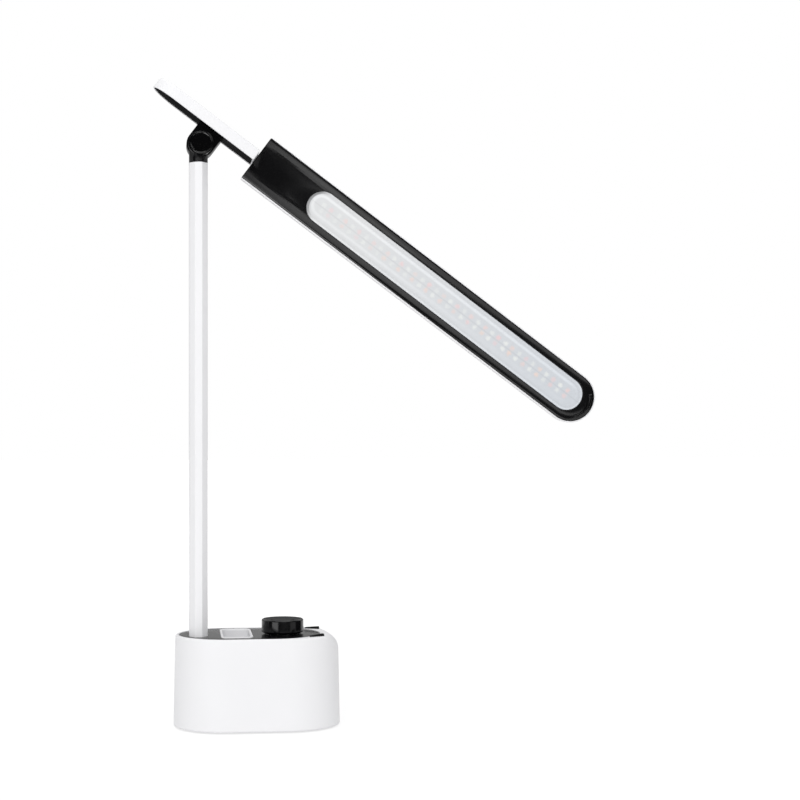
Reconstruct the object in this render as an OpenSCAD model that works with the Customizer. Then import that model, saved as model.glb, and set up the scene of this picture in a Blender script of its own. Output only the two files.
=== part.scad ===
// Folding desk lamp: a weighted base with a pen pocket and a dimmer knob, an upright post,
// an arm that tilts on the post and a long light head that rolls about the arm's length.
// Millimetres. X runs along the base, Y away from the front, Z up from the desk.

/* [Base] */
// Length of the base at the desk
base_len = 116; // [108:1:150]
// Depth of the base at the desk, which also rounds its ends
base_depth = 75; // [72:1:90]
// Height of the base's rim above the desk
base_h = 64.3; // [62:0.1:75]
// Wall thickness of the base shell
base_wall = 2.4; // [1.8:0.1:3]
// How far each side leans in between the desk and the rim
base_draft = 1.25; // [0.6:0.05:2]
// Rounding of the right shoulder, seen from the front
shoulder_r = 11; // [7:0.5:12]
// How far the rubber pad lifts the shell
foot_gap = 1; // [0.6:0.1:2]
// Distance from the rubber pad's edge to the base's widest line
pad_inset = 13; // [12.5:0.5:18]
// Thickness of the bottom cover
cover_t = 2.6; // [2.2:0.1:3.2]
// Thickness of the steel ballast plate
ballast_t = 7; // [4:0.5:8]
// Thickness of the deck under the top plate
deck_t = 2.2; // [1.6:0.1:3]

/* [Top plate and pen pocket] */
// Thickness of the glossy top plate
plate_t = 2; // [1.2:0.1:3]
// How far the white rim stands above the plate
plate_sink = 0.3; // [0.1:0.1:0.6]
// Width of the white rim round the plate
rim_w = 2.5; // [2:0.1:4]
// Width of the white land right of the plate
land_w = 12.75; // [11.5:0.25:16]
// Length of the pen pocket's lip along the base
cup_len = 21.9; // [16:0.1:24]
// Distance from the pocket's lip to the front and the back of the base
pocket_side = 12.5; // [11:0.5:16]
// Corner radius of the pen pocket
cup_r = 5; // [3:0.5:7]
// Wall thickness of the pocket's liner
cup_wall = 1.1; // [0.8:0.1:1.6]
// Gap between the pocket's underside and the ballast plate
pocket_gap = 5.7; // [3:0.1:14]
// Distance from the post to the pocket's middle
post_to_cup = 26.3; // [25:0.1:28]

/* [Dimmer knob] */
// Diameter of the knob
knob_d = 29.4; // [27:0.1:32]
// Height of the knob
knob_h = 10; // [9.6:0.1:13]
// Gap between the knob and the top plate
knob_gap = 0.4; // [0.3:0.1:1.4]
// Gap between the pocket's lip and the knob
cup_to_knob = 6.8; // [4:0.1:9]
// Diameter of the push button in the knob
button_d = 16; // [12:0.5:18]
// How far the button's face lies below the knob's rim
button_sink = 0.4; // [0.2:0.1:1]
// How far the button travels
button_travel = 1; // [0.5:0.1:1.1]

/* [Post] */
// Thickness of the post, along the base
post_t = 12.7; // [11:0.1:15]
// Width of the post, across the base
post_w = 32; // [26:1:34]
// Wall thickness of the post tube
post_wall = 1.5; // [1:0.1:2]
// Height of the post's top end above the desk
post_top = 391.8; // [300:0.1:420]
// Distance from the post's middle to the base's left end at the desk
post_inset = 17.1; // [16:0.1:19]

/* [Hinge] */
// Height of the hinge pin above the post's top end
hinge_rise = 13.3; // [12.6:0.1:16]
// How far the pin sits from the post's middle towards the head
hinge_shift = 1.4; // [0:0.1:2.5]
// Radius of the yoke's round cheeks
cheek_r = 8.7; // [8.2:0.1:9.4]
// Radius of the arm's hinge lug, and half its length under the arm
lug_r = 9.7; // [8.8:0.1:10]
// Diameter of the hinge pin
pin_d = 6; // [4:0.5:6.5]

/* [Arm] */
// Width of the arm
arm_w = 36; // [34:0.5:40]
// Length of the arm behind the hinge
arm_tail = 50; // [40:1:60]
// Length of the arm from the hinge to the joint with the head
arm_front = 35.9; // [35.9:0.1:60]
// Gap between the hinge pin's axis and the arm's underside
arm_gap = 12.3; // [11.5:0.1:16]
// Thickness of the arm and of the head's white shell
shell_t = 8.3; // [8.3:0.1:10]
// Skin thickness of the arm and head shells
skin = 1.4; // [1:0.1:1.5]
// Wall thickness of the arm and head shells
wall = 1.8; // [1.5:0.1:2.2]
// How far the arm's black cover lies inside the white rim
cover_sink = 0.5; // [0.1:0.1:0.6]

/* [Light head] */
// Length of the head
head_len = 296.8; // [240:1:340]
// Width of the head
head_w = 36.5; // [35:0.5:42]
// Gap between the arm and the head
joint_gap = 0.3; // [0.2:0.1:0.6]
// Width of the white lip round the black bezel
lip_t = 0.95; // [0.8:0.05:1.2]
// How far the bezel stands out of the white shell
bezel_proud = 1.8; // [1.6:0.1:3]
// Thickness of the bezel
bezel_t = 1.45; // [1.2:0.05:1.6]
// Width of the diffuser
diffuser_w = 23; // [18:0.5:24]
// Distance from the joint to the near end of the diffuser
diffuser_start = 46.4; // [44:0.1:60]
// Distance from the far end of the diffuser to the head's tip
diffuser_end = 10.5; // [10:0.1:16]
// Number of lights in each of the two rows
led_count = 36; // [24:1:38]
// Distance from one light to the next
led_pitch = 6.1; // [5:0.1:6.2]
// Distance between the two rows of lights
led_rows = 4.4; // [4:0.1:6]
// Diameter of the shaft that the head rolls on
shaft_d = 4; // [3:0.1:4.2]

/* [Pose] */
// Tilt of the arm below horizontal
arm_tilt = 36.8; // [0:0.1:77]
// Roll of the head, 0 with its light facing down and 90 with it facing the front
head_roll = 90; // [-90:1:90]

/* [Hidden] */
$fn = 64;
over = 1;          // how far a cut runs past a face
fit = 0.15;        // clearance of a piece dropped into its seat
snug = 0.05;       // clearance of a close fit
run = 0.08;        // radial clearance of a running fit

// base, from the desk up
foot_chamfer = 1.4;
rim_edge = 0.8;
straight = base_len - base_depth;                // between the centres of the round ends
base_r = base_depth / 2;
side_z = foot_gap + foot_chamfer;                // where the leaning sides start
slope = base_draft / (base_h - side_z);
cover_z = foot_gap + cover_t;                    // top of the bottom cover
ballast_z = cover_z + ballast_t;
deck_top = base_h - plate_sink - plate_t;
deck_z = deck_top - deck_t;                      // underside of the deck
plate_z = deck_top + plate_t;
boss_r = 3.2;
boss_ring = base_r - base_wall - 6;              // from a round end's centre to a corner boss
boss_angles = [60, 52];                          // right and left, off the base's middle line
boss_top = 20;
boss_hole = 12;
base_screw_len = 11;
pad_r = base_r - pad_inset;
pad_seat = 1.2;                                  // how deep the pad sits in the cover
ballast_gap = 6.1;                               // between the ballast plate and the walls

// top plate
plate_x0 = -base_len / 2 + base_draft + rim_w;
plate_x1 = base_len / 2 - base_draft - land_w;
plate_r = base_r - base_draft - rim_w;

// post
post_x = -base_len / 2 + post_inset;
cham_x = 3.9;                                    // the front and back chamfers of the post
cham_y = 6;
socket_floor = 5.4;                              // thickness under the post
socket_grip = 14;                                // how deep the post stands in the socket
socket_z = ballast_z + socket_floor;
socket_top = socket_z + socket_grip;
cross_screw_z = socket_z + 6;
socket_side = 4;                                 // wall of the socket left and right of the post
socket_end = 3;                                  // and at its front and back
post_screw_y = 8;
cross_screw_y = 9;
plug_len = 22;
lead_r = 1.5;
lead_x = post_x - post_t / 2 + post_wall + lead_r + 0.2;
lead_out = socket_z + 8;                         // height at which the lead leaves the post

// pen pocket
cup_x = post_x + post_to_cup;
cup_depth = base_depth - 2 * pocket_side;
cup_lip = 0.6;
cup_lip_t = 0.8;
cup_floor = 1.5;
cup_top = plate_z + cup_lip_t;
cup_body_x = cup_len / 2 - cup_lip;              // half the pocket's size below its lip
cup_body_y = cup_depth / 2 - cup_lip;
cup_body_r = cup_r - cup_lip;
pocket_deep = cup_top - cup_floor - ballast_z - pocket_gap;

// knob, button and dimmer
knob_x = cup_x + cup_len / 2 + cup_to_knob + knob_d / 2;
knob_r = knob_d / 2;
knob_z = plate_z + knob_gap;
knob_top = knob_z + knob_h;
button_r = button_d / 2;
button_t = 1.8;
button_z = knob_top - button_sink - button_t;    // underside of the button's disc
button_floor = button_z - button_travel - 0.15;  // floor of the knob's recess
stem_r = 2.5;
sleeve_in = stem_r + run;
sleeve_r = 4.5;
bush_in = sleeve_r + run;
bush_r = 6;
unit_r = 12;
unit_h = 8;
nut_h = 2;
board_t = 1.6;
board_z = deck_z - 9.2;                          // top of the control board
dome_h = 1.8;
board_x0 = cup_x + cup_len / 2 + 2;
board_room = 13.75;                              // from the board's right end to the base's wall
board_x1 = straight / 2 + base_r - base_wall - board_room;
board_y = base_r - 15.5;
board_screw_y = board_y - 3;

// battery
cell_r = 9.1;
cell_len = 35;
cell_pitch = 19.5;
tray_floor = 1.6;
tray_h = 9.4;
tray_end = 2;                                    // wall past each end of the cells
tray_len = 2 * cell_pitch + 1.5;
tray_x = cup_x + cup_body_x + 3.9 + tray_len / 2;

// charging inlet in the back wall
inlet_w = 9;
inlet_h = 3.3;
inlet_deep = 7.6;
inlet_y = base_r - 1.1;                          // its mouth
charge_z = 16;                                   // top of the pillars under its board
pillar_y = base_r - base_wall - 3.6;
pillar_dx = 8;
pillar_hole = 6;
charge_len = 22;
charge_front = 4.5;                              // from the pillars to the board's front edge
charge_back = 2.6;

// hinge
hinge_x = post_x + hinge_shift;
hinge_z = post_top + hinge_rise;
lug_half = 9.1;
washer_t = 0.79;
yoke_gap = lug_half + washer_t + 2 * 0.03;       // from the middle to a cheek's inner face
yoke_half = post_w / 2;
pin_r = pin_d / 2;
pin_head_r = pin_r + 1.8;
pin_head_t = 2.4;
pin_seat = yoke_half - pin_head_t - 0.6;         // where the pin's head and nut bear
cap_r = cheek_r - 0.8;
cap_t = 1.2;
bush_t = 0.95;

// arm and head sections, measured from the middle of the shell's thickness
axis_n = arm_gap + shell_t / 2;                  // roll axis above the hinge pin
half_t = shell_t / 2;
shelf = 1.7;                                     // depth of the lip round the cover or bezel
shelf_z = -half_t + shelf;
skin_z = half_t - skin;
edge = 1.5;                                      // rounding of the white shells' outer edges
cover_half = arm_w / 2 - lip_t - snug;
flange_t = 1.5;
lug_cut = 0.15;
lug_screw_x = lug_r + 2.9;
lug_screw_y = 7.5;
flange_half = 11;
flange_x = lug_r + 6;                            // half the length of the lug's flange
block_x0 = flange_x + 0.5;
block_x1 = arm_front - 2.9;
block_half = 8;
shaft_r = shaft_d / 2;
joint_u = arm_front + joint_gap;
tip_u = joint_u + head_len;
tip_c = tip_u - head_w / 2;                      // centre of the head's round tip
bezel_half = head_w / 2 - lip_t - snug;
socket_x0 = joint_u + 3.8;
socket_x1 = socket_x0 + 18;
socket_half = 9;
clip_t = 0.8;
diffuser_half = diffuser_w / 2;
diffuser_x0 = joint_u + diffuser_start;
diffuser_x1 = tip_u - diffuser_end;
frame_t = 1.3;
diffuser_mid = (diffuser_x0 + diffuser_x1) / 2;
bezel_z = -half_t - bezel_proud;                 // the bezel's outer face
face_z = bezel_z - 0.25;                         // the diffuser's outer face
back_z = bezel_z + bezel_t;                      // the bezel's inner face
flange_z = back_z + 0.9;                         // inner face of the diffuser's flange
spreader_z = skin_z - 0.05;
spreader_t = 1.2;
led_board_t = 1;
led_z = spreader_z - spreader_t - led_board_t;   // face of the board that carries the lights
led_t = 0.75;

module stadium_frustum(gap, r1, r2, h) {
  for (s = [-1, 1]) translate([s * gap / 2, 0, 0]) cylinder(r1 = r1, r2 = r2, h = h);
  translate([-gap / 2, 0, 0]) rotate([90, 0, 90]) linear_extrude(gap)
    polygon([[-r1, 0], [r1, 0], [r2, h], [-r2, h]]);
}

// a stadium between two ends, standing on z = 0
module slab(x0, x1, r, h) {
  translate([(x0 + x1) / 2, 0, 0]) stadium_frustum(x1 - x0 - 2 * r, r, r, h);
}

module round_rect(len, depth, r, h) {
  for (x = [-1, 1], y = [-1, 1])
    translate([x * (len / 2 - r), y * (depth / 2 - r), 0]) cylinder(r = r, h = h);
  translate([-len / 2, -depth / 2 + r, 0]) cube([len, depth - 2 * r, h]);
  translate([-len / 2 + r, -depth / 2, 0]) cube([len - 2 * r, depth, h]);
}

// A bar along X whose outer line [half width, z] runs from its lower to its upper face.
// A round end turns that line about the end's centre.
module bar(xa, xb, line, round_a = false, round_b = false) {
  n = len(line) - 1;
  mirrored = [for (i = [n:-1:0]) [-line[i][0], line[i][1]]];
  translate([xa, 0, 0]) rotate([90, 0, 90]) linear_extrude(xb - xa) polygon(concat(line, mirrored));
  half = concat([[0, line[0][1]]], line, [[0, line[n][1]]]);
  if (round_a) translate([xa, 0, 0]) rotate_extrude() polygon(half);
  if (round_b) translate([xb, 0, 0]) rotate_extrude() polygon(half);
}

// a screw that points up: head below z = 0, shank above it
module screw(r, length, head_r, head_t) {
  difference() {
    union() {
      cylinder(r = r, h = length);
      translate([0, 0, -head_t]) cylinder(r = head_r, h = head_t);
    }
    for (a = [0, 90]) rotate(a) translate([-head_r * 0.6, -head_r * 0.12, -head_t - over])
      cube([head_r * 1.2, head_r * 0.24, over + head_t * 0.6]);
  }
}

// countersunk: the head's face is at z = 0
module flat_screw(r, length, head_r) {
  sink = head_r - r;
  difference() {
    union() {
      cylinder(r1 = head_r, r2 = r, h = sink);
      translate([0, 0, sink - 0.01]) cylinder(r = r, h = length - sink + 0.01);
    }
    for (a = [0, 90]) rotate(a) translate([-head_r * 0.6, -head_r * 0.12, -over])
      cube([head_r * 1.2, head_r * 0.24, over + sink * 0.5]);
  }
}

module along_y(x, z, y = 0) {
  translate([x, y, z]) rotate([-90, 0, 0]) children();
}

module on_hinge() {
  translate([hinge_x, 0, hinge_z]) rotate([0, arm_tilt, 0]) children();
}

module on_arm() {
  on_hinge() translate([0, 0, axis_n]) children();
}

module on_head() {
  on_arm() rotate([-head_roll, 0, 0]) children();
}

// ---- base ----

function half_at(z) = base_r - slope * (z - side_z);

module shoulder_cut(inset) {
  cz = base_h - shoulder_r;
  cx = straight / 2 + half_at(cz) - shoulder_r;
  translate([cx, 0, cz]) difference() {
    translate([0, -base_depth, 0]) cube([2 * shoulder_r, 2 * base_depth, 2 * shoulder_r]);
    rotate([90, 0, 0]) cylinder(r = shoulder_r - inset, h = 3 * base_depth, center = true);
  }
}

module base_outer() {
  translate([0, 0, foot_gap])
    stadium_frustum(straight, base_r - foot_chamfer, base_r, foot_chamfer);
  translate([0, 0, side_z])
    stadium_frustum(straight, base_r, half_at(base_h - rim_edge), base_h - rim_edge - side_z);
  translate([0, 0, base_h - rim_edge]) stadium_frustum(
    straight, half_at(base_h - rim_edge), half_at(base_h - rim_edge) - rim_edge, rim_edge);
}

module base_cavity() {
  difference() {
    translate([0, 0, foot_gap - over]) stadium_frustum(
      straight, half_at(foot_gap - over) - base_wall, half_at(deck_z) - base_wall,
      deck_z - foot_gap + over);
    shoulder_cut(base_wall);
  }
}

// four places round the base's round ends, at one angle on the right and another on the left
module at_corners(ring, angles) {
  for (y = [-1, 1]) {
    translate([straight / 2, 0, 0]) rotate(y * angles[0]) translate([ring, 0, 0]) children();
    translate([-straight / 2, 0, 0]) rotate(180 - y * angles[1]) translate([ring, 0, 0]) children();
  }
}

module at_bosses() {
  at_corners(boss_ring, boss_angles) children();
}

module boss(gap = 0) {
  cylinder(r = boss_r + gap, h = boss_top - cover_z);
  translate([0, -1 - gap, 0]) cube([base_wall + 5, 2 + 2 * gap, boss_top - cover_z]);
}

module at_board_screws() {
  for (x = [board_x0 + 2.6, board_x1 - 2.6], y = [-1, 1])
    translate([x, y * board_screw_y, 0]) children();
}

module post_section(inset) {
  ht = post_t / 2;
  hw = post_w / 2;
  line = cham_y * ht + cham_x * (hw - cham_y) - inset * norm([cham_x, cham_y]);
  x1 = (line - cham_x * (hw - inset)) / cham_y;
  y1 = (line - cham_y * (ht - inset)) / cham_x;
  polygon([[ht - inset, -y1], [ht - inset, y1], [x1, hw - inset], [-x1, hw - inset],
    [-ht + inset, y1], [-ht + inset, -y1], [-x1, -hw + inset], [x1, -hw + inset]]);
}

module base_shell() color("white") {
  difference() {
    base_outer();
    shoulder_cut(0);
    base_cavity();
    translate([0, 0, deck_top]) slab(plate_x0 - fit, plate_x1 + fit, plate_r + fit, over + base_h);
    translate([post_x, 0, deck_z - over]) linear_extrude(over + base_h) post_section(-fit);
    translate([cup_x, 0, deck_z - over]) round_rect(
      2 * (cup_body_x + fit), 2 * (cup_body_y + fit), cup_body_r + fit, base_h);
    translate([knob_x, 0, deck_z - over]) cylinder(r = bush_r + fit, h = base_h);
    inlet_slot();
  }
  intersection() {
    at_bosses() translate([0, 0, cover_z]) difference() {
      boss();
      translate([0, 0, -over]) cylinder(r = 1.5, h = boss_hole);
    }
    translate([0, 0, foot_gap])
      stadium_frustum(straight, base_r - 1, half_at(deck_z) - 1, deck_z - foot_gap);
  }
  at_board_screws() difference() {
    translate([0, 0, board_z]) cylinder(r = 2.6, h = deck_z - board_z + 0.5);
    translate([0, 0, board_z - over]) cylinder(r = 1.05, h = 7);
  }
}

module inlet_slot() {
  r = inlet_h / 2 + 0.35;
  z = charge_z + board_t + inlet_h / 2;
  for (s = [-1, 1]) along_y(cup_x + s * (inlet_w - inlet_h) / 2, z, base_r - base_wall - 4)
    cylinder(r = r, h = base_wall + 8);
  translate([cup_x - (inlet_w - inlet_h) / 2, base_r - base_wall - 4, z - r])
    cube([inlet_w - inlet_h, base_wall + 8, 2 * r]);
}

module bottom_cover() color("gainsboro") {
  difference() {
    translate([0, 0, foot_gap]) stadium_frustum(
      straight, base_r - base_wall - fit, base_r - base_wall - fit, cover_t);
    rubber_slab(0.1);
    at_bosses() {
      cylinder(r = 3, h = cover_z - 0.9);
      cylinder(r = 1.6, h = cover_z + over);
    }
  }
  for (s = [-1, 1]) translate([cup_x + s * pillar_dx, pillar_y, cover_z - 0.5]) difference() {
    cylinder(r = 1.9, h = charge_z - cover_z + 0.5);
    translate([0, 0, charge_z - cover_z - pillar_hole]) cylinder(r = 0.85, h = 2 * pillar_hole);
  }
}

module rubber_slab(gap) {
  stadium_frustum(straight, pad_r + gap - 0.3, pad_r + gap, 0.3);
  translate([0, 0, 0.3]) stadium_frustum(straight, pad_r + gap, pad_r + gap, foot_gap + pad_seat - 0.3);
}

// one soft pad under the base, sunk into the bottom cover
module rubber_pad() color("dimgray") {
  rubber_slab(0);
}

module base_screws() color("silver") {
  at_bosses() translate([0, 0, cover_z - 0.9]) screw(1.45, base_screw_len, 2.8, 1.6);
}

module ballast_plate() color("slategray") {
  difference() {
    translate([0, 0, cover_z]) stadium_frustum(
      straight + 5, base_r - base_wall - ballast_gap, base_r - base_wall - ballast_gap, ballast_t);
    at_bosses() translate([0, 0, cover_z - over]) boss(0.5);
    for (s = [-1, 1]) translate([post_x, s * post_screw_y, cover_z - over]) {
      cylinder(r = 2.1, h = ballast_t + 2 * over);
      cylinder(r = 3.9, h = 3.6 + over);
    }
  }
}

module top_plate() color("dimgray") {
  difference() {
    translate([0, 0, deck_top]) slab(plate_x0, plate_x1, plate_r, plate_t);
    translate([post_x, 0, deck_top - over]) linear_extrude(plate_t + 2 * over) post_section(-fit);
    translate([cup_x, 0, deck_top - over])
      round_rect(2 * cup_body_x + fit, 2 * cup_body_y + fit, cup_body_r + fit / 2, base_h);
    translate([knob_x, 0, deck_top - over]) cylinder(r = bush_r + fit, h = base_h);
  }
}

module pen_cup() color("whitesmoke") {
  difference() {
    union() {
      translate([cup_x, 0, cup_top - pocket_deep - cup_floor])
        round_rect(2 * cup_body_x, 2 * cup_body_y, cup_body_r, pocket_deep + cup_floor);
      translate([cup_x, 0, plate_z]) round_rect(cup_len, cup_depth, cup_r, cup_lip_t);
    }
    translate([cup_x, 0, cup_top - pocket_deep]) round_rect(
      2 * (cup_body_x - cup_wall), 2 * (cup_body_y - cup_wall), cup_body_r - cup_wall, base_h);
  }
}

// two ramps beside the plate's round end that stop a phone from sliding
module rest_ridges() color("black") {
  ridge_len = 10.6;
  ridge_w = 2.4;
  ridge_low = 0.9;
  ridge_high = 1.8;
  turn = 24;                                     // how far they close in towards the right end
  start = plate_r + 1.8;                         // from the centre of the plate's round end
  for (s = [-1, 1]) translate([plate_x1 - plate_r, 0, 0]) rotate(s * 45)
    translate([start, 0, base_h]) rotate(-s * (45 + turn)) translate([0, ridge_w / 2, 0])
      rotate([90, 0, 0]) linear_extrude(ridge_w) polygon([[0, 0], [ridge_len, 0],
        [ridge_len, ridge_high - 0.4], [ridge_len - 0.7, ridge_high], [0, ridge_low]]);
}

module battery_tray() color("darkslategray") {
  difference() {
    translate([tray_x - tray_len / 2, -cell_len / 2 - tray_end, ballast_z])
      cube([tray_len, cell_len + 2 * tray_end, tray_h]);
    for (s = [-1, 1])
      along_y(tray_x + s * cell_pitch / 2, ballast_z + tray_floor + cell_r, -cell_len / 2 - 0.2)
        cylinder(r = cell_r + 0.1, h = cell_len + 0.4);
  }
}

module battery_cells() color("steelblue") {
  for (s = [-1, 1])
    along_y(tray_x + s * cell_pitch / 2, ballast_z + tray_floor + cell_r, -cell_len / 2) {
      cylinder(r = cell_r, h = cell_len - 1);
      cylinder(r = 3, h = cell_len);
    }
}

module control_board() color("seagreen") {
  difference() {
    translate([board_x0, -board_y, board_z - board_t])
      cube([board_x1 - board_x0, 2 * board_y, board_t]);
    at_board_screws() translate([0, 0, board_z - board_t - over])
      cylinder(r = 1.2, h = board_t + 2 * over);
  }
}

// chips, a coil and a battery plug on the underside of the control board
module board_parts() color("black") {
  under = board_z - board_t;
  translate([knob_x - 10, -12, under - 1.2]) cube([9, 9, 1.2]);
  translate([knob_x - 8, 6, under - 1]) cube([5, 6, 1]);
  translate([knob_x + 9, -9, under - 4.5]) cylinder(r = 4, h = 4.5);
  translate([knob_x + 8, 6, under - 5]) cube([8, 7, 5]);
  translate([board_x1 - 8, 6 - board_y, under - 6]) cylinder(r = 2.5, h = 6);
}

module board_screws() color("silver") {
  at_board_screws() translate([0, 0, board_z - board_t]) screw(1, 7, 1.9, 1.2);
  for (s = [-1, 1]) translate([cup_x + s * pillar_dx, pillar_y, charge_z + board_t])
    mirror([0, 0, 1]) screw(0.8, 6, 1.6, 1);
}

module dimmer_unit() color("silver") {
  difference() {
    translate([knob_x, 0, 0]) {
      translate([0, 0, deck_z - unit_h]) cylinder(r = unit_r, h = unit_h);
      translate([0, 0, deck_z - over]) cylinder(r = bush_r, h = plate_z - deck_z + over + 2.2);
      for (a = [45:90:315]) rotate(a) translate([unit_r - 1.6, 0, board_z])
        cylinder(r = 0.6, h = deck_z - unit_h - board_z + 0.5);
    }
    translate([knob_x, 0, deck_z - unit_h - over]) cylinder(r = bush_in, h = base_h);
  }
}

module dimmer_nut() color("silver") {
  translate([knob_x, 0, plate_z]) difference() {
    cylinder(r = bush_r + 2.6, h = nut_h, $fn = 6);
    translate([0, 0, -over]) cylinder(r = bush_r + snug, h = nut_h + 2 * over);
  }
}

module button_dome() color("gray") {
  translate([knob_x, 0, board_z]) rotate_extrude()
    polygon([[2.6, 0], [4, 0], [4, 0.4], [2.3, dome_h], [0, dome_h], [0, dome_h - 0.7],
      [1.4, dome_h - 0.7]]);
}

module charge_board() color("seagreen") {
  difference() {
    translate([cup_x - charge_len / 2, pillar_y - charge_front, charge_z])
      cube([charge_len, charge_front + charge_back, board_t]);
    for (s = [-1, 1]) translate([cup_x + s * pillar_dx, pillar_y, charge_z - over])
      cylinder(r = 0.95, h = board_t + 2 * over);
  }
}

// the charging socket: a flat oval tube with a tongue
module charge_inlet() color("silver") {
  z = charge_z + board_t + inlet_h / 2;
  y0 = inlet_y - inlet_deep;
  dx = (inlet_w - inlet_h) / 2;
  difference() {
    union() {
      for (s = [-1, 1]) along_y(cup_x + s * dx, z, y0) cylinder(r = inlet_h / 2, h = inlet_deep);
      translate([cup_x - dx, y0, z - inlet_h / 2]) cube([2 * dx, inlet_deep, inlet_h]);
    }
    for (s = [-1, 1]) along_y(cup_x + s * dx, z, y0 + 1)
      cylinder(r = inlet_h / 2 - 0.35, h = inlet_deep);
    translate([cup_x - dx, y0 + 1, z - inlet_h / 2 + 0.35]) cube([2 * dx, inlet_deep, inlet_h - 0.7]);
  }
  translate([cup_x - dx, y0 + 0.5, z - 0.35]) cube([2 * dx, inlet_deep - 1.5, 0.7]);
}

// ---- post ----

module post_socket() color("darkgray") {
  difference() {
    intersection() {
      translate([post_x - post_t / 2 - socket_side, -post_w / 2 - socket_end, ballast_z])
        cube([post_t + 2 * socket_side, post_w + 2 * socket_end, socket_top - ballast_z]);
      stadium_frustum(straight, half_at(socket_top) - base_wall - fit,
        half_at(socket_top) - base_wall - fit, base_h);
    }
    translate([post_x, 0, socket_z]) linear_extrude(socket_top) post_section(-0.1);
    for (s = [-1, 1]) translate([post_x, s * post_screw_y, ballast_z - over])
      cylinder(r = 2.05, h = socket_top);
    for (s = [-1, 1]) translate([post_x, s * cross_screw_y, cross_screw_z]) rotate([0, 90, 0])
      cylinder(r = 1.55, h = post_t);
    translate([post_x, 0, lead_out]) rotate([0, 90, 0])
      cylinder(r = lead_r + 0.3, h = post_t + 2 * socket_side);
  }
}

module post_screws() color("silver") {
  for (s = [-1, 1]) translate([post_x, s * post_screw_y, cover_z + 3.6])
    screw(2, socket_z - cover_z - 3.6 - 0.3, 3.7, 3.4);
  for (s = [-1, 1]) translate([post_x + post_t / 2 + socket_side, s * cross_screw_y, cross_screw_z])
    rotate([0, -90, 0]) screw(1.5, socket_side - snug, 2.6, 1.6);
}

module post_tube() color("white") {
  translate([post_x, 0, 0]) difference() {
    translate([0, 0, socket_z]) linear_extrude(post_top - socket_z) post_section(0);
    translate([0, 0, socket_z - over]) linear_extrude(post_top) post_section(post_wall);
    translate([0, 0, lead_out]) rotate([0, 90, 0]) cylinder(r = lead_r + 0.3, h = post_t);
    along_y(0, post_top - plug_len / 2) cylinder(r = 1.3, h = post_w);
  }
}

// the cable inside the post, out through the socket at the bottom
module post_lead() color("dimgray") {
  translate([lead_x, 0, lead_out]) {
    cylinder(r = lead_r, h = post_top - lead_out - 3);
    sphere(r = lead_r);
    rotate([0, 90, 0]) cylinder(r = lead_r, h = post_x + post_t / 2 + socket_side + 1.5 - lead_x);
  }
}

// ---- hinge ----

module hinge_yoke() color("black") {
  difference() {
    union() {
      translate([post_x, 0, post_top - plug_len]) linear_extrude(plug_len + over)
        post_section(post_wall + 0.1);
      translate([post_x, 0, post_top]) linear_extrude(hinge_rise) post_section(0);
      for (s = [-1, 1]) along_y(hinge_x, hinge_z, s > 0 ? yoke_gap : -yoke_half)
        cylinder(r = cheek_r, h = yoke_half - yoke_gap);
    }
    along_y(hinge_x, hinge_z, -yoke_gap) cylinder(r = lug_r + 0.6, h = 2 * yoke_gap);
    along_y(hinge_x, hinge_z, -yoke_half - over) cylinder(r = pin_r + snug, h = 3 * yoke_half);
    for (y = [-yoke_half - over, pin_seat]) along_y(hinge_x, hinge_z, y)
      cylinder(r = pin_head_r + 0.3, h = yoke_half - pin_seat + over);
    translate([lead_x, 0, post_top - plug_len - over]) cylinder(r = lead_r + 0.4, h = post_top);
    along_y(post_x, post_top - plug_len / 2, post_w / 2 - post_wall - 7) cylinder(r = 1, h = 10);
  }
}

module yoke_screw() color("silver") {
  along_y(post_x, post_top - plug_len / 2, post_w / 2) mirror([0, 0, 1]) screw(0.95, 7.5, 2.2, 1);
}

module hinge_pin() color("silver") {
  along_y(hinge_x, hinge_z, -pin_seat) {
    screw(pin_r, 2 * pin_seat + pin_head_t, pin_head_r, pin_head_t);
  }
}

module hinge_nut() color("silver") {
  along_y(hinge_x, hinge_z, pin_seat) difference() {
    cylinder(r = pin_head_r, h = pin_head_t - 0.2, $fn = 6);
    translate([0, 0, -over]) cylinder(r = pin_r + snug, h = pin_head_t + 2 * over);
  }
}

module friction_washers() color("tan") {
  for (y = [-lug_half - 0.03 - washer_t, lug_half + 0.03]) along_y(hinge_x, hinge_z, y)
    difference() {
      cylinder(r = cheek_r - 0.8, h = washer_t);
      translate([0, 0, -over]) cylinder(r = pin_r + snug, h = washer_t + 2 * over);
    }
}

// a cap over each cheek, with a spigot in the counterbore and a bevelled rim
module hinge_caps() color("black") {
  for (s = [-1, 1]) translate([hinge_x, s * yoke_half, hinge_z]) rotate([-s * 90, 0, 0])
    rotate_extrude() polygon([[0, -0.4], [pin_head_r + 0.2, -0.4], [pin_head_r + 0.2, 0],
      [cap_r, 0], [cap_r, cap_t - 0.5], [cap_r - 0.5, cap_t], [cap_r - 1, cap_t],
      [cap_r - 1.2, cap_t - 0.3], [0, cap_t - 0.3]]);
}

// ---- arm ----

function arc(half, top, r) = [for (a = [0:22.5:90]) [half - r + r * cos(a), top - r + r * sin(a)]];

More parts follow.
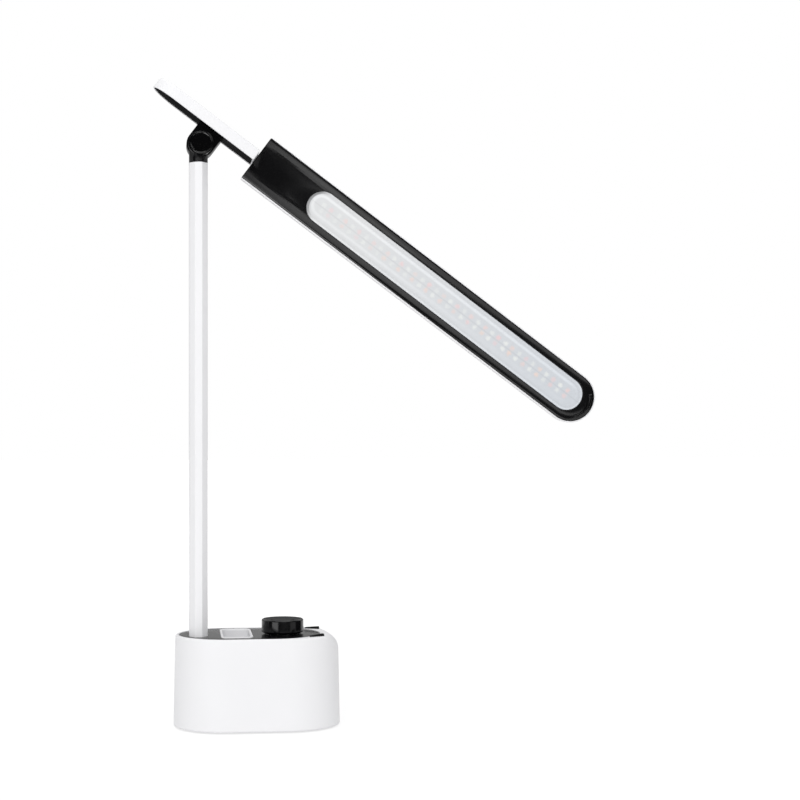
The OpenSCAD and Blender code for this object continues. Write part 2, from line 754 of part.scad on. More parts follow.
// an open tray: outer half width, lip and wall round a cavity under the skin
module tray(xa, xb, half, round_a, round_b) {
  wall_a = round_a ? 0 : wall;
  wall_b = round_b ? 0 : wall;
  lip_a = round_a ? 0 : lip_t;
  lip_b = round_b ? 0 : lip_t;
  difference() {
    bar(xa, xb, concat([[half - 0.4, -half_t], [half, -half_t + 0.4]], arc(half, half_t, edge)),
      round_a, round_b);
    bar(xa + lip_a, xb - lip_b, [[half - lip_t, -half_t - over], [half - lip_t, shelf_z]],
      round_a, round_b);
    bar(xa + wall_a, xb - wall_b, [[half - wall, -half_t - over], [half - wall, skin_z]],
      round_a, round_b);
    translate([xa - 4 * wall, 0, 0]) rotate([0, 90, 0])
      cylinder(r = round_a ? 0.01 : shaft_r + 0.4, h = 8 * wall);
    translate([xb - 4 * wall, 0, 0]) rotate([0, 90, 0])
      cylinder(r = round_b ? 0.01 : shaft_r + 0.4, h = 8 * wall);
  }
}

arm_c = -arm_tail + arm_w / 2;                   // centre of the arm's round tail

module at_lug_screws() {
  for (x = [-1, 1], y = [-1, 1]) translate([x * lug_screw_x, y * lug_screw_y, 0]) children();
}

module at_block_screws() {
  for (x = [block_x0 + 3, block_x1 - 3], y = [-1, 1]) translate([x, y * 5.6, 0]) children();
}

module at_socket_screws() {
  for (x = [socket_x0 + 3, socket_x1 - 3], y = [-1, 1]) translate([x, y * 6, 0]) children();
}

module arm_shell() color("white") {
  on_arm() difference() {
    union() {
      tray(arm_c, arm_front, arm_w / 2, true, false);
      at_lug_screws() translate([0, 0, shelf_z + flange_t]) cylinder(r = 2.4, h = 4);
    }
    at_lug_screws() translate([0, 0, shelf_z]) cylinder(r = 1.1, h = skin_z - shelf_z - 0.3);
    at_block_screws() cylinder(r = 0.9, h = skin_z + 0.8);
    translate([-arm_w, -arm_w, half_t]) cube(2 * arm_w);
  }
}

module arm_cover() color("black") {
  z = -half_t + cover_sink;
  on_arm() difference() {
    bar(arm_c, arm_front - lip_t - snug, [[cover_half - 0.4, z], [cover_half, z + 0.4],
      [cover_half, shelf_z]], true, false);
    translate([-lug_r - lug_cut, -lug_half - lug_cut, -shell_t])
      cube([2 * (lug_r + lug_cut), 2 * (lug_half + lug_cut), 2 * shell_t]);
  }
}

module hinge_lug() color("black") {
  top = axis_n + shelf_z;
  on_hinge() difference() {
    union() {
      along_y(0, 0, -lug_half) cylinder(r = lug_r, h = 2 * lug_half);
      translate([-lug_r, -lug_half, 0]) cube([2 * lug_r, 2 * lug_half, top + flange_t]);
      translate([-flange_x, -flange_half, top]) cube([2 * flange_x, 2 * flange_half, flange_t]);
    }
    along_y(0, 0, -lug_half - over) cylinder(r = pin_r + bush_t + snug, h = 2 * lug_half + 2 * over);
    translate([0, 0, top]) at_lug_screws() {
      cylinder(r1 = 2.2, r2 = 1.15, h = 1.05);
      cylinder(r = 1.15, h = 4);
    }
  }
}

module lug_screws() color("silver") {
  on_arm() at_lug_screws() translate([0, 0, shelf_z + 0.05]) flat_screw(1.05, 4.6, 2.1);
}

module hinge_bush() color("goldenrod") {
  on_hinge() along_y(0, 0, -lug_half) difference() {
    cylinder(r = pin_r + bush_t + 0.02, h = 2 * lug_half);
    translate([0, 0, -over]) cylinder(r = pin_r + run, h = 2 * lug_half + 2 * over);
  }
}

module shaft_block() color("darkgray") {
  on_arm() difference() {
    translate([block_x0, -block_half, shelf_z + snug])
      cube([block_x1 - block_x0, 2 * block_half, skin_z - shelf_z - 2 * snug]);
    translate([block_x0 - over, 0, 0]) rotate([0, 90, 0])
      cylinder(r = shaft_r + 0.02, h = block_x1 - block_x0 + 2 * over);
    at_block_screws() translate([0, 0, shelf_z]) {
      cylinder(r = 0.9, h = shell_t);
      cylinder(r = 1.6, h = 1.2);
    }
  }
}

module block_screws() color("silver") {
  on_arm() at_block_screws() translate([0, 0, shelf_z + 1.2])
    screw(0.85, skin_z - shelf_z - 0.5, 1.5, 1);
}

module roll_shaft() color("silver") {
  on_arm() translate([block_x0, 0, 0]) rotate([0, 90, 0]) difference() {
    cylinder(r = shaft_r, h = socket_x1 - block_x0 + 2 * clip_t);
    translate([0, 0, -over]) cylinder(r = shaft_r - 0.8, h = 2 * socket_x1);
  }
}

module roll_clip() color("silver") {
  on_arm() translate([socket_x1 + snug, 0, 0]) rotate([0, 90, 0]) difference() {
    cylinder(r = shaft_r + 0.6, h = clip_t);
    translate([0, 0, -over]) cylinder(r = shaft_r + 0.02, h = 3 * clip_t);
  }
}

module wire_pair(x0, x1, dy) {
  for (s = [-1, 1]) translate([x0, s * dy, skin_z - 0.65]) rotate([0, 90, 0])
    cylinder(r = 0.6, h = x1 - x0);
}

module arm_lead() color("dimgray") {
  on_arm() wire_pair(-6, block_x0 - snug, 2);
}

// ---- light head ----

module head_shell() color("white") {
  on_head() difference() {
    tray(joint_u, tip_c, head_w / 2, false, true);
    bar(joint_u - over, joint_u + 2 * lip_t, [[head_w / 2 - lip_t, -half_t - over],
      [head_w / 2 - lip_t, shelf_z]]);
    at_socket_screws() cylinder(r = 0.9, h = skin_z + 0.8);
  }
}

// black face with rounded shoulders and a crescent thumb ridge near the tip
module head_bezel() color("black") {
  rim = bezel_half;
  inner = rim - bezel_t - 0.5;
  ridge_in = diffuser_half + 1.6;
  ridge_out = ridge_in + 2.2;
  on_head() {
    difference() {
      bar(joint_u, tip_c, [[rim - 5.2, bezel_z], [rim - 3.4, bezel_z + 0.15],
        [rim - 1.8, bezel_z + 0.5], [rim - 0.6, bezel_z + 1.05], [rim, bezel_z + 1.7],
        [rim, shelf_z]], false, true);
      bar(joint_u + wall, tip_c, [[inner - 1.4, back_z], [inner, back_z + 1.2],
        [inner, shelf_z + over]], false, true);
      bar(diffuser_x0 + diffuser_half, diffuser_x1 - diffuser_half,
        [[diffuser_half + 1, bezel_z - 0.4], [diffuser_half + 0.1, bezel_z + 0.5],
        [diffuser_half + 0.1, 0]], true, true);
    }
    translate([tip_c, 0, bezel_z - 0.9]) intersection() {
      difference() {
        cylinder(r1 = ridge_out - 0.6, r2 = ridge_out, h = 1.1);
        translate([0, 0, -over]) cylinder(r = ridge_in, h = 3 * over);
      }
      rotate([0, 0, -45]) translate([0, 0, -over]) cube([head_w, head_w, 4 * over]);
    }
  }
}

module diffuser() color("lightcyan") {
  lens = diffuser_half;
  on_head() difference() {
    bar(diffuser_x0 + lens, diffuser_x1 - lens, [[lens - 0.7, face_z], [lens - 0.2, face_z + 0.15],
      [lens, face_z + 0.6], [lens, back_z + 0.03], [lens + 1.3, back_z + 0.03],
      [lens + 1.3, flange_z]], true, true);
    bar(diffuser_x0 + lens, diffuser_x1 - lens, [[lens - 1.8, face_z + 1.2],
      [lens - 1.2, face_z + 1.8], [lens - 1.2, flange_z + over]], true, true);
  }
}

// white frame that holds the diffuser against the bezel
module light_frame() color("white") {
  outer = diffuser_half + 1.3;
  on_head() difference() {
    bar(diffuser_x0 + diffuser_half, diffuser_x1 - diffuser_half,
      [[outer, flange_z + 0.03], [outer, spreader_z - spreader_t - 0.03]], true, true);
    bar(diffuser_x0 + diffuser_half, diffuser_x1 - diffuser_half,
      [[outer - frame_t, back_z], [outer - frame_t, half_t]], true, true);
  }
}

module strip(half_len, half, z, t) {
  bar(diffuser_mid - half_len + half, diffuser_mid + half_len - half, [[half, z], [half, z + t]],
    true, true);
}

module heat_spreader() color("silver") {
  on_head() strip((diffuser_x1 - diffuser_x0) / 2 + 1.3, diffuser_half + 1.3,
    spreader_z - spreader_t, spreader_t);
}

module led_board() color("whitesmoke") {
  on_head() strip((diffuser_x1 - diffuser_x0) / 2 - 3.5, 8, led_z, led_board_t);
}

// every second light of a row, the two rows being out of step
module leds(first) {
  size = [2.8, 2.4, led_t];
  for (row = [0, 1], i = [(first + row) % 2:2:led_count - 1])
    translate([diffuser_mid + (i - (led_count - 1) / 2) * led_pitch - size[0] / 2,
      (row - 0.5) * led_rows - size[1] / 2, led_z - led_t]) cube(size);
}

module leds_cool() color("lightblue") {
  on_head() leds(0);
}

module leds_warm() color("peachpuff") {
  on_head() leds(1);
}

module roll_socket() color("darkgray") {
  low = back_z + 0.1;
  on_head() difference() {
    translate([socket_x0, -socket_half, low])
      cube([socket_x1 - socket_x0, 2 * socket_half, skin_z - snug - low]);
    translate([socket_x0 - over, 0, 0]) rotate([0, 90, 0])
      cylinder(r = shaft_r + run, h = socket_x1 - socket_x0 + 2 * over);
    at_socket_screws() translate([0, 0, low - over]) {
      cylinder(r = 0.9, h = 2 * shell_t);
      cylinder(r = 1.7, h = 1.4 + over);
    }
  }
}

module socket_screws() color("silver") {
  low = back_z + 0.1;
  on_head() at_socket_screws() translate([0, 0, low + 1.4])
    screw(0.85, skin_z - low - 0.7, 1.6, 1.1);
}

module head_lead() color("dimgray") {
  on_head() wire_pair(socket_x1 + 2 * clip_t + 0.4, diffuser_x0 - 1.4, 2);
}

// ---- knob and button ----

module dimmer_knob() color("black") {
  bevel = 0.7;
  skirt = 1.8;                                   // undercut round the knob's foot
  dish = 0.7;                                    // how far the top falls towards the button
  cup = bush_r + 2.6 + 1.2;                      // hollow that clears the nut
  cup_h = nut_h + 1.2 + 2.2 - knob_gap;
  translate([knob_x, 0, 0]) difference() {
    rotate_extrude() polygon([[0, knob_z], [knob_r - skirt, knob_z],
      [knob_r, knob_z + skirt * 0.6], [knob_r, knob_top - bevel],
      [knob_r - 0.3, knob_top - 0.2], [knob_r - 0.9, knob_top], [knob_r - 1.5, knob_top],
      [button_r + 0.6, knob_top - dish], [0, knob_top - dish]]);
    translate([0, 0, button_floor]) cylinder(r = button_r + 0.12, h = knob_h);
    translate([0, 0, knob_z - over]) cylinder(r = cup, h = cup_h + over);
    translate([0, 0, knob_z - over]) cylinder(r = sleeve_in, h = 2 * knob_h);
  }
  translate([knob_x, 0, board_z + 2]) difference() {
    cylinder(r = sleeve_r, h = knob_z + cup_h - board_z - 1.9);
    translate([0, 0, -over]) cylinder(r = sleeve_in, h = 2 * base_h);
  }
}

module power_button() color("black") {
  translate([knob_x, 0, 0]) rotate_extrude() polygon([[0, board_z + dome_h + 0.05],
    [stem_r, board_z + dome_h + 0.05], [stem_r, button_z], [button_r, button_z],
    [button_r, button_z + button_t - 0.4], [button_r - 0.4, button_z + button_t],
    [0, button_z + button_t]]);
}

base_shell();
bottom_cover();
rubber_pad();
base_screws();
ballast_plate();
top_plate();
pen_cup();
rest_ridges();
battery_tray();
battery_cells();
control_board();
board_parts();
board_screws();
dimmer_unit();
dimmer_nut();
button_dome();
charge_board();
charge_inlet();
post_socket();
post_screws();
post_tube();
post_lead();
hinge_yoke();
yoke_screw();
hinge_pin();
hinge_nut();
friction_washers();
hinge_caps();
arm_shell();
arm_cover();
hinge_lug();
lug_screws();
hinge_bush();
shaft_block();
block_screws();
roll_shaft();
roll_clip();
arm_lead();
head_shell();
head_bezel();
diffuser();
light_frame();
led_board();
leds_cool();
leds_warm();
heat_spreader();
roll_socket();
socket_screws();
head_lead();
dimmer_knob();
power_button();
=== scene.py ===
import math

import bmesh
import bpy
from bpy.props import FloatProperty, FloatVectorProperty, PointerProperty
from bpy.types import Operator, Panel, PropertyGroup
from mathutils import Matrix, Vector


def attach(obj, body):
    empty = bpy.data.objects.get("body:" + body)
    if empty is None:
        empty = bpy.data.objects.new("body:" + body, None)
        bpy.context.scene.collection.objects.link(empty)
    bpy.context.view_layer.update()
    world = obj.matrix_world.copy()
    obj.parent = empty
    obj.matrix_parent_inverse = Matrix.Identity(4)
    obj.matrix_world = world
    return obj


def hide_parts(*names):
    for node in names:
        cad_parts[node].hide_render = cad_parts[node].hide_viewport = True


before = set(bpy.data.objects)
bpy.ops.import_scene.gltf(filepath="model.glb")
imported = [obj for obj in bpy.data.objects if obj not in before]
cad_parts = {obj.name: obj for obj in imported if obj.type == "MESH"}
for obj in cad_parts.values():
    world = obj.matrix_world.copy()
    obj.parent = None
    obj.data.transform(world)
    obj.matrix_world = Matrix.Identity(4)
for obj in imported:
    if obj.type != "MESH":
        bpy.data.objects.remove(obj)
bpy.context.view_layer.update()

bl_info = {
    "name": "Folding desk lamp",
    "version": (1, 0, 0),
    "blender": (4, 5, 0),
    "location": "3D View > Sidebar > Desk lamp",
    "description": "Builds the visible pieces, finishes and studio of a folding desk lamp",
    "category": "Object",
}

MM = 0.001

# Where the lamp's moving pieces stand at rest. Every size below is in millimetres.
HINGE_Z = 405.1
HINGE = Vector((-39.5, 0.0, HINGE_Z))
TILT = math.radians(36.8)
AXIS_RISE = 16.45
ON_HINGE = Matrix.Translation(HINGE * MM) @ Matrix.Rotation(TILT, 4, "Y")
ON_ARM = ON_HINGE @ Matrix.Translation((0, 0, AXIS_RISE * MM))
ON_HEAD = ON_ARM @ Matrix.Rotation(math.radians(-90), 4, "X")

# The arm and the head: half thickness, ledge and skin of their shells, lip, wall, ends and half widths.
HALF_T = 4.15
SHELF_Z = -2.45
SKIN_Z = 2.75
LIP_T = 0.95
WALL_T = 1.8
ARM_TAIL_X = -32.0
ARM_FRONT_X = 35.9
ARM_HALF = 18.0
COVER_HALF = 17.0
JOINT_X = 36.2
TIP_X = 314.75
HEAD_HALF = 18.25
BEZEL_HALF = 17.25
BEZEL_Z = -5.95
SHOULDER_DROP = 1.7
END_SOFT = 0.35
LENS_A, LENS_B = 94.1, 311.0
LENS_HALF = 11.5
SHAFT_R = 2.4
LUG_SCREWS = [(x, y) for x in (-12.6, 12.6) for y in (-7.5, 7.5)]

# The lights behind the lens.
LIGHT_PITCH = 6.17
LIGHTS_IN_ROW = 36
LIGHTS_MID_X = 202.0
ROW_Y = 2.25

# The post and the hinge.
POST_X = -40.9
POST_HALF_X, POST_HALF_Y = 6.35, 16.0
POST_TOP_Z = 391.8
POST_SCREW_Z = 380.8
CHEEK_R = 8.7
CHEEK_Y = 16.0
SLOT_Y = 9.95
LUG_R = 9.7
LUG_TOP_Z = 14.4

# The base: it leans in from its skirt to its rim, and its shoulder ends on a straight line at the right.
PLAN_STEPS = 56
BASE_END_X = 20.5
BASE_HALF, TOP_HALF = 37.5, 36.25
BASE_WALL = 2.4
FLOOR_Z, SKIRT_Z, CEILING_Z, RIM_Z = 1.0, 2.4, 59.8, 64.3
LEAN = (BASE_HALF - TOP_HALF) / (RIM_Z - SKIRT_Z)
SHOULDER_X = 45.97
SHOULDER_BLEND = 1.2
SHOULDER_SPAN = 10.0
INNER_DROP, INNER_STEP = 6.5, 2.83
BOSS_LOW, BOSS_HIGH = 3.6, 20.0
BOSS_REACH = 29.1
BOSS_ENDS = ((60, BASE_END_X), (-60, BASE_END_X), (128, -BASE_END_X), (-128, -BASE_END_X))
BOARD_BOSSES = [(x, y) for x in (0.95, 39.25) for y in (-19.0, 19.0)]

# The plate, the pocket and the knob.
PLATE_X0, PLATE_X1, PLATE_R = -20.5, 10.25, 33.75
SEAT_Z, PLATE_Z = 62.0, 64.0
CUT_LOW, CUT_HIGH = 58.0, 68.0
POST_GAP = 0.15
CUP_X = -14.6
CUP_HALF_X, CUP_HALF_Y, CUP_CORNER = 10.95, 25.0, 5.0
PORT_Z = 19.25
KNOB_X = 17.85
KNOB_LOW, KNOB_HIGH = 64.4, 74.4
KNOB_R = 14.7
KNOB_HOLE_R = 6.15
KNOB_FLOOR_Z = 71.05


# ---------------------------------------------------------------- sizes and colours a user may change

class LampSizes(PropertyGroup):
    foot_round: FloatProperty(
        name="Foot rounding", description="Rounding of the base shell's lower edge",
        default=1.3 * MM, min=0.5 * MM, max=1.4 * MM, subtype="DISTANCE", unit="LENGTH")
    rim_round: FloatProperty(
        name="Rim rounding", description="Rounding of the base's straight upper edges",
        default=1.0 * MM, min=0.5 * MM, max=1.4 * MM, subtype="DISTANCE", unit="LENGTH")
    plate_edge: FloatProperty(
        name="Plate edge", description="Rounding of the glossy top plate's edge",
        default=0.3 * MM, min=0.1 * MM, max=0.6 * MM, subtype="DISTANCE", unit="LENGTH")
    shell_edge: FloatProperty(
        name="Shell edge", description="Rounding of the outer edges of the arm and head shells",
        default=1.54 * MM, min=0.5 * MM, max=2.0 * MM, subtype="DISTANCE", unit="LENGTH")
    post_edge: FloatProperty(
        name="Post edge", description="Rounding of the post's long edges",
        default=0.5 * MM, min=0.1 * MM, max=1.0 * MM, subtype="DISTANCE", unit="LENGTH")
    small_edge: FloatProperty(
        name="Small edge", description="Softening of the hinge pieces' edges",
        default=0.25 * MM, min=0.05 * MM, max=0.4 * MM, subtype="DISTANCE", unit="LENGTH")
    bezel_flat: FloatProperty(
        name="Bezel flat", description="Half width of the bezel's flat middle, before its shoulders fall",
        default=9.5 * MM, min=7.0 * MM, max=11.0 * MM, subtype="DISTANCE", unit="LENGTH")


class LampColours(PropertyGroup):
    white: FloatVectorProperty(
        name="White", description="Moulded white of the base, post, arm and head shells",
        subtype="COLOR", size=3, min=0, max=1, default=(0.90, 0.90, 0.915))
    black: FloatVectorProperty(
        name="Satin black", description="Moulded black of the bezel, arm cover, knob and button",
        subtype="COLOR", size=3, min=0, max=1, default=(0.0045, 0.0045, 0.005))
    gloss: FloatVectorProperty(
        name="Gloss black", description="Polished top plate",
        subtype="COLOR", size=3, min=0, max=1, default=(0.006, 0.006, 0.007))
    lens: FloatVectorProperty(
        name="Lens", description="Frosted light cover",
        subtype="COLOR", size=3, min=0, max=1, default=(0.70, 0.71, 0.72))
    lens_tip: FloatVectorProperty(
        name="Lens tip", description="Frosted light cover towards the tip of the head",
        subtype="COLOR", size=3, min=0, max=1, default=(0.63, 0.66, 0.70))
    cool: FloatVectorProperty(
        name="Cool lights", description="Spots of the cool lights behind the lens",
        subtype="COLOR", size=3, min=0, max=1, default=(0.82, 0.84, 0.82))
    warm: FloatVectorProperty(
        name="Warm lights", description="Spots of the warm lights behind the lens",
        subtype="COLOR", size=3, min=0, max=1, default=(0.83, 0.67, 0.60))
    rose: FloatVectorProperty(
        name="Rose lights", description="The pinker spots among the warm lights behind the lens",
        subtype="COLOR", size=3, min=0, max=1, default=(0.82, 0.61, 0.64))


def user_size(name):
    """A size that the user may change, in millimetres."""
    return getattr(bpy.context.scene.lamp_sizes, name) / MM


def user_colour(name):
    return tuple(getattr(bpy.context.scene.lamp_colours, name))


# ---------------------------------------------------------------- shapes, in millimetres

def new_object(name, data):
    obj = bpy.data.objects.new(name, data)
    bpy.context.scene.collection.objects.link(obj)
    return obj


def mesh_object(name, points, faces, sharp=32.0):
    mesh = bpy.data.meshes.new(name)
    mesh.from_pydata([tuple(c * MM for c in p) for p in points], [], faces)
    work = bmesh.new()
    work.from_mesh(mesh)
    bmesh.ops.remove_doubles(work, verts=work.verts, dist=1e-7)
    bmesh.ops.recalc_face_normals(work, faces=work.faces)
    work.to_mesh(mesh)
    work.free()
    obj = new_object(name, mesh)
    shade(obj, sharp)
    return obj


def shade(obj, sharp):
    for face in obj.data.polygons:
        face.use_smooth = True
    obj.data.set_sharp_from_angle(angle=math.radians(sharp))


def loft(rings, closed=False):
    """Quads between rings of equal length. An open loft is capped at both ends."""
    points = [p for ring in rings for p in ring]
    count = len(rings[0])
    faces = []
    for r in range(len(rings) if closed else len(rings) - 1):
        a, b = r * count, (r + 1) % len(rings) * count
        for k in range(count):
            n = (k + 1) % count
            faces.append((a + k, a + n, b + n, b + k))
    if not closed:
        faces.append(tuple(range(count)))
        faces.append(tuple(reversed(range(len(points) - count, len(points)))))
    return points, faces


def together(*solids):
    """Joins (points, faces) lists of separate closed solids."""
    points, faces = [], []
    for some_points, some_faces in solids:
        step = len(points)
        points.extend(some_points)
        faces.extend(tuple(i + step for i in face) for face in some_faces)
    return points, faces


def turned(line, centre=(0, 0, 0), axis="Z", steps=96, closed=False):
    """A profile of (radius, height) turned about an axis. Its ends are capped flat unless it is a loop."""
    rings = []
    for radius, height in line:
        ring = []
        for k in range(steps):
            a = 2 * math.pi * k / steps
            c, s = radius * math.cos(a), radius * math.sin(a)
            p = {"Z": (c, s, height), "Y": (c, height, s), "X": (height, c, s)}[axis]
            ring.append(tuple(q + w for q, w in zip(p, centre)))
        rings.append(ring)
    return loft(rings, closed)


def rod(radius, first, last, centre=(0, 0, 0), axis="Z", steps=96):
    return turned([(radius, first), (radius, last)], centre, axis, steps)


def arc(cx, cy, radius, first, last, count):
    angles = [math.radians(first + (last - first) * k / count) for k in range(count + 1)]
    return [(cx + radius * math.cos(a), cy + radius * math.sin(a)) for a in angles]


def round_steps(count):
    """Shares of its radius that a rounded corner steps in and falls short of the top, from its side up."""
    angles = [math.pi / 2 * k / count for k in range(count + 1)]
    return [(1 - math.cos(a), 1 - math.sin(a)) for a in angles]


def swung(x, y, degrees, cx=0.0, cy=0.0):
    """Where a point given from (cx, cy) stands once it is turned about there."""
    c, s = math.cos(math.radians(degrees)), math.sin(math.radians(degrees))
    return cx + x * c - y * s, cy + x * s + y * c


def bar_ring(xa, xb, half, z, round_a, round_b, corner=0.5, count=48):
    """Outline in plan of a bar along X. A round end has its centre at xa or xb, a square one stops there."""
    corner = min(corner, half * 0.9)
    line = []
    if round_b:
        line += arc(xb, 0, half, -90, 90, count)
    else:
        line += arc(xb - corner, corner - half, corner, -90, 0, 4)
        line += arc(xb - corner, half - corner, corner, 0, 90, 4)
    if round_a:
        line += arc(xa, 0, half, 90, 270, count)
    else:
        line += arc(xa + corner, half - corner, corner, 90, 180, 4)
        line += arc(xa + corner, corner - half, corner, 180, 270, 4)
    return [(x, y, z) for x, y in line]


def rect_ring(cx, cy, half_x, half_y, radius, z, count=8):
    line = []
    for sx, sy, first in ((1, -1, -90), (1, 1, 0), (-1, 1, 90), (-1, -1, 180)):
        x, y = cx + sx * (half_x - radius), cy + sy * (half_y - radius)
        line += arc(x, y, radius, first, first + 90, count)
    return [(x, y, z) for x, y in line]


def soft_box(low, high, radius, edge):
    """A block with rounded upright corners and softened lower and upper edges."""
    cx, cy = (low[0] + high[0]) / 2, (low[1] + high[1]) / 2
    hx, hy = (high[0] - low[0]) / 2, (high[1] - low[1]) / 2
    levels = [(low[2], edge), (low[2] + edge * 0.3, edge * 0.3), (low[2] + edge, 0),
              (high[2] - edge, 0), (high[2] - edge * 0.3, edge * 0.3), (high[2], edge)]
    return loft([rect_ring(cx, cy, hx - inset, hy - inset, max(radius - inset, 0.05), z, 6)
                 for z, inset in levels])


def bake(obj):
    """Keeps what an object's modifiers made as its own mesh."""
    bpy.context.view_layer.update()
    graph = bpy.context.evaluated_depsgraph_get()
    made = bpy.data.meshes.new_from_object(obj.evaluated_get(graph))
    old = obj.data
    obj.modifiers.clear()
    obj.data = made
    made.name = obj.name
    bpy.data.meshes.remove(old)


def combine(obj, operation, *solids, sharp=32.0):
    """Cuts solids out of an object, or joins them on."""
    tool = mesh_object("tool", *together(*solids))
    step = obj.modifiers.new("step", "BOOLEAN")
    step.object = tool
    step.solver = "EXACT"
    step.operation = operation
    step.use_self = True
    bake(obj)
    bpy.data.meshes.remove(tool.data)
    work = bmesh.new()
    work.from_mesh(obj.data)
    bmesh.ops.remove_doubles(work, verts=work.verts, dist=2e-7)
    bmesh.ops.dissolve_degenerate(work, edges=work.edges, dist=1e-7)
    if not work.faces:
        raise RuntimeError("nothing is left of " + obj.name)
    work.to_mesh(obj.data)
    work.free()
    shade(obj, sharp)


def soften(obj, width):
    """Rounds the sharp edges of a finished shape."""
    step = obj.modifiers.new("soft edges", "BEVEL")
    step.width = width * MM
    step.segments = 2
    step.limit_method = "ANGLE"
    step.angle_limit = math.radians(40.0)
    step.use_clamp_overlap = True
    bake(obj)
    shade(obj, 38.0)


def finish_piece(obj, body, slot, finish, *nodes, place=None):
    """Puts a piece in its place, lets it ride on its body and gives it its finish."""
    if not obj.data.polygons:
        raise RuntimeError(obj.name + " has no faces")
    if place is not None:
        obj.data.transform(place)
    obj.data.materials.clear()
    obj.data.materials.append(finish)
    if nodes:
        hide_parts(*nodes)
    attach(obj, body)


# ---------------------------------------------------------------- nodes

class Value:
    """What a node gives out, which can be reckoned with like a number."""

    def __init__(self, socket):
        self.socket = socket

    def __add__(self, other):
        return maths("ADD", self, other)

    def __sub__(self, other):
        return maths("SUBTRACT", self, other)

    def __rsub__(self, other):
        return maths("SUBTRACT", other, self)

    def __mul__(self, other):
        return maths("MULTIPLY", self, other)

    def __truediv__(self, other):
        return maths("DIVIDE", self, other)

    def __mod__(self, other):
        return maths("MODULO", self, other)

    def __abs__(self):
        return maths("ABSOLUTE", self)

    def __gt__(self, other):
        return maths("GREATER_THAN", self, other)

    def __lt__(self, other):
        return maths("LESS_THAN", self, other)

    def remap(self, low, high, to_low=0.0, to_high=1.0, smooth=False):
        """Its share of the way from low to high, as a value between to_low and to_high."""
        kind = "SMOOTHSTEP" if smooth else "LINEAR"
        inputs = [self, low, high, to_low, to_high]
        return Value(add_node(tree_of(self), "MapRange", inputs, interpolation_type=kind).outputs[0])


def tree_of(*values):
    """The node tree that the first node output among some values belongs to."""
    return next(value.socket.id_data for value in values if isinstance(value, Value))


def feed(value, socket):
    """Links a node output to an input, or writes a plain value there."""
    if isinstance(value, Value):
        value = value.socket
    if isinstance(value, bpy.types.NodeSocket):
        socket.id_data.links.new(value, socket)
    elif socket.type == "RGBA":
        socket.default_value = (*value, 1)
    else:
        socket.default_value = value


def add_node(tree, kind, inputs=(), **settings):
    """A node with its settings, fed by the names of its inputs or in their order."""
    node = tree.nodes.new("ShaderNode" + kind)
    for name, value in settings.items():
        setattr(node, name, value)
    for key, value in inputs.items() if isinstance(inputs, dict) else enumerate(inputs):
        feed(value, node.inputs[key])
    return node


def maths(operation, a, b=0.0, clamp=False):
    node = add_node(tree_of(a, b), "Math", [a, b], operation=operation, use_clamp=clamp)
    return Value(node.outputs[0])


def hypotenuse(a, b):
    return maths("SQRT", a * a + b * b)


def blend(factor, a, b, kind="MIX"):
    """Mixes two colours, each a node output or three numbers."""
    node = add_node(tree_of(factor, a, b), "Mix", data_type="RGBA", blend_type=kind)
    for value, key in ((factor, 0), (a, 6), (b, 7)):
        feed(value, node.inputs[key])
    return Value(node.outputs[2])


def noise(space, scale, detail, roughness):
    inputs = {"Vector": space, "Scale": scale, "Detail": detail, "Roughness": roughness}
    return Value(add_node(tree_of(space), "TexNoise", inputs).outputs[0])


def split(value, kind="SeparateXYZ"):
    return [Value(socket) for socket in add_node(tree_of(value), kind, [value]).outputs]


def own_space(tree):
    return Value(add_node(tree, "TexCoord").outputs["Object"])


def from_geometry(tree, name):
    return Value(add_node(tree, "NewGeometry").outputs[name])


def measured_along(space, origin, direction):
    """Distance in millimetres from a point, measured along a direction."""
    shifted = add_node(tree_of(space), "VectorMath", [space, origin], operation="SUBTRACT").outputs[0]
    scaled = direction.normalized() / MM
    product = add_node(tree_of(space), "VectorMath", [shifted, scaled], operation="DOT_PRODUCT")
    return Value(product.outputs["Value"])


# ---------------------------------------------------------------- shared effects, as node groups

def new_group(name, inputs, outputs):
    """A node group, its inputs by name and a function that feeds its outputs by name."""
    group = bpy.data.node_groups.new(name, "ShaderNodeTree")
    for label, kind, value in inputs:
        item = group.interface.new_socket(name=label, in_out="INPUT", socket_type="NodeSocket" + kind)
        item.default_value = value
    for label, kind in outputs:
        group.interface.new_socket(name=label, in_out="OUTPUT", socket_type="NodeSocket" + kind)
    entry = group.nodes.new("NodeGroupInput")
    result = group.nodes.new("NodeGroupOutput")
    given = {label: Value(entry.outputs[label]) for label, kind, value in inputs}

    def put_out(**values):
        for label, value in values.items():
            feed(value, result.inputs[label])

    return group, given, put_out


def moulded_grain():
    """Fine mould texture: a height for the bump and a faint shade."""
    group, given, put_out = new_group(
        "moulded grain", [("Scale", "Float", 2600.0)], [("Height", "Float"), ("Shade", "Float")])
    space = own_space(group)
    fine = noise(space, given["Scale"], 3.0, 0.6)
    cells = add_node(group, "TexVoronoi", {"Vector": space, "Scale": given["Scale"]})
    put_out(Height=fine + Value(cells.outputs["Distance"]) * 0.5, Shade=fine.remap(0.3, 0.7))
    return group


def edge_wear():
    """Where edges are rubbed: 1 on sharp convex edges, broken up by noise."""
    group, given, put_out = new_group(
        "edge wear", [("Start", "Float", 0.53), ("Full", "Float", 0.62)], [("Mask", "Float")])
    edge = from_geometry(group, "Pointiness").remap(given["Start"], given["Full"])
    put_out(Mask=edge * noise(own_space(group), 180.0, 4.0, 0.6).remap(0.42, 0.66))
    return group


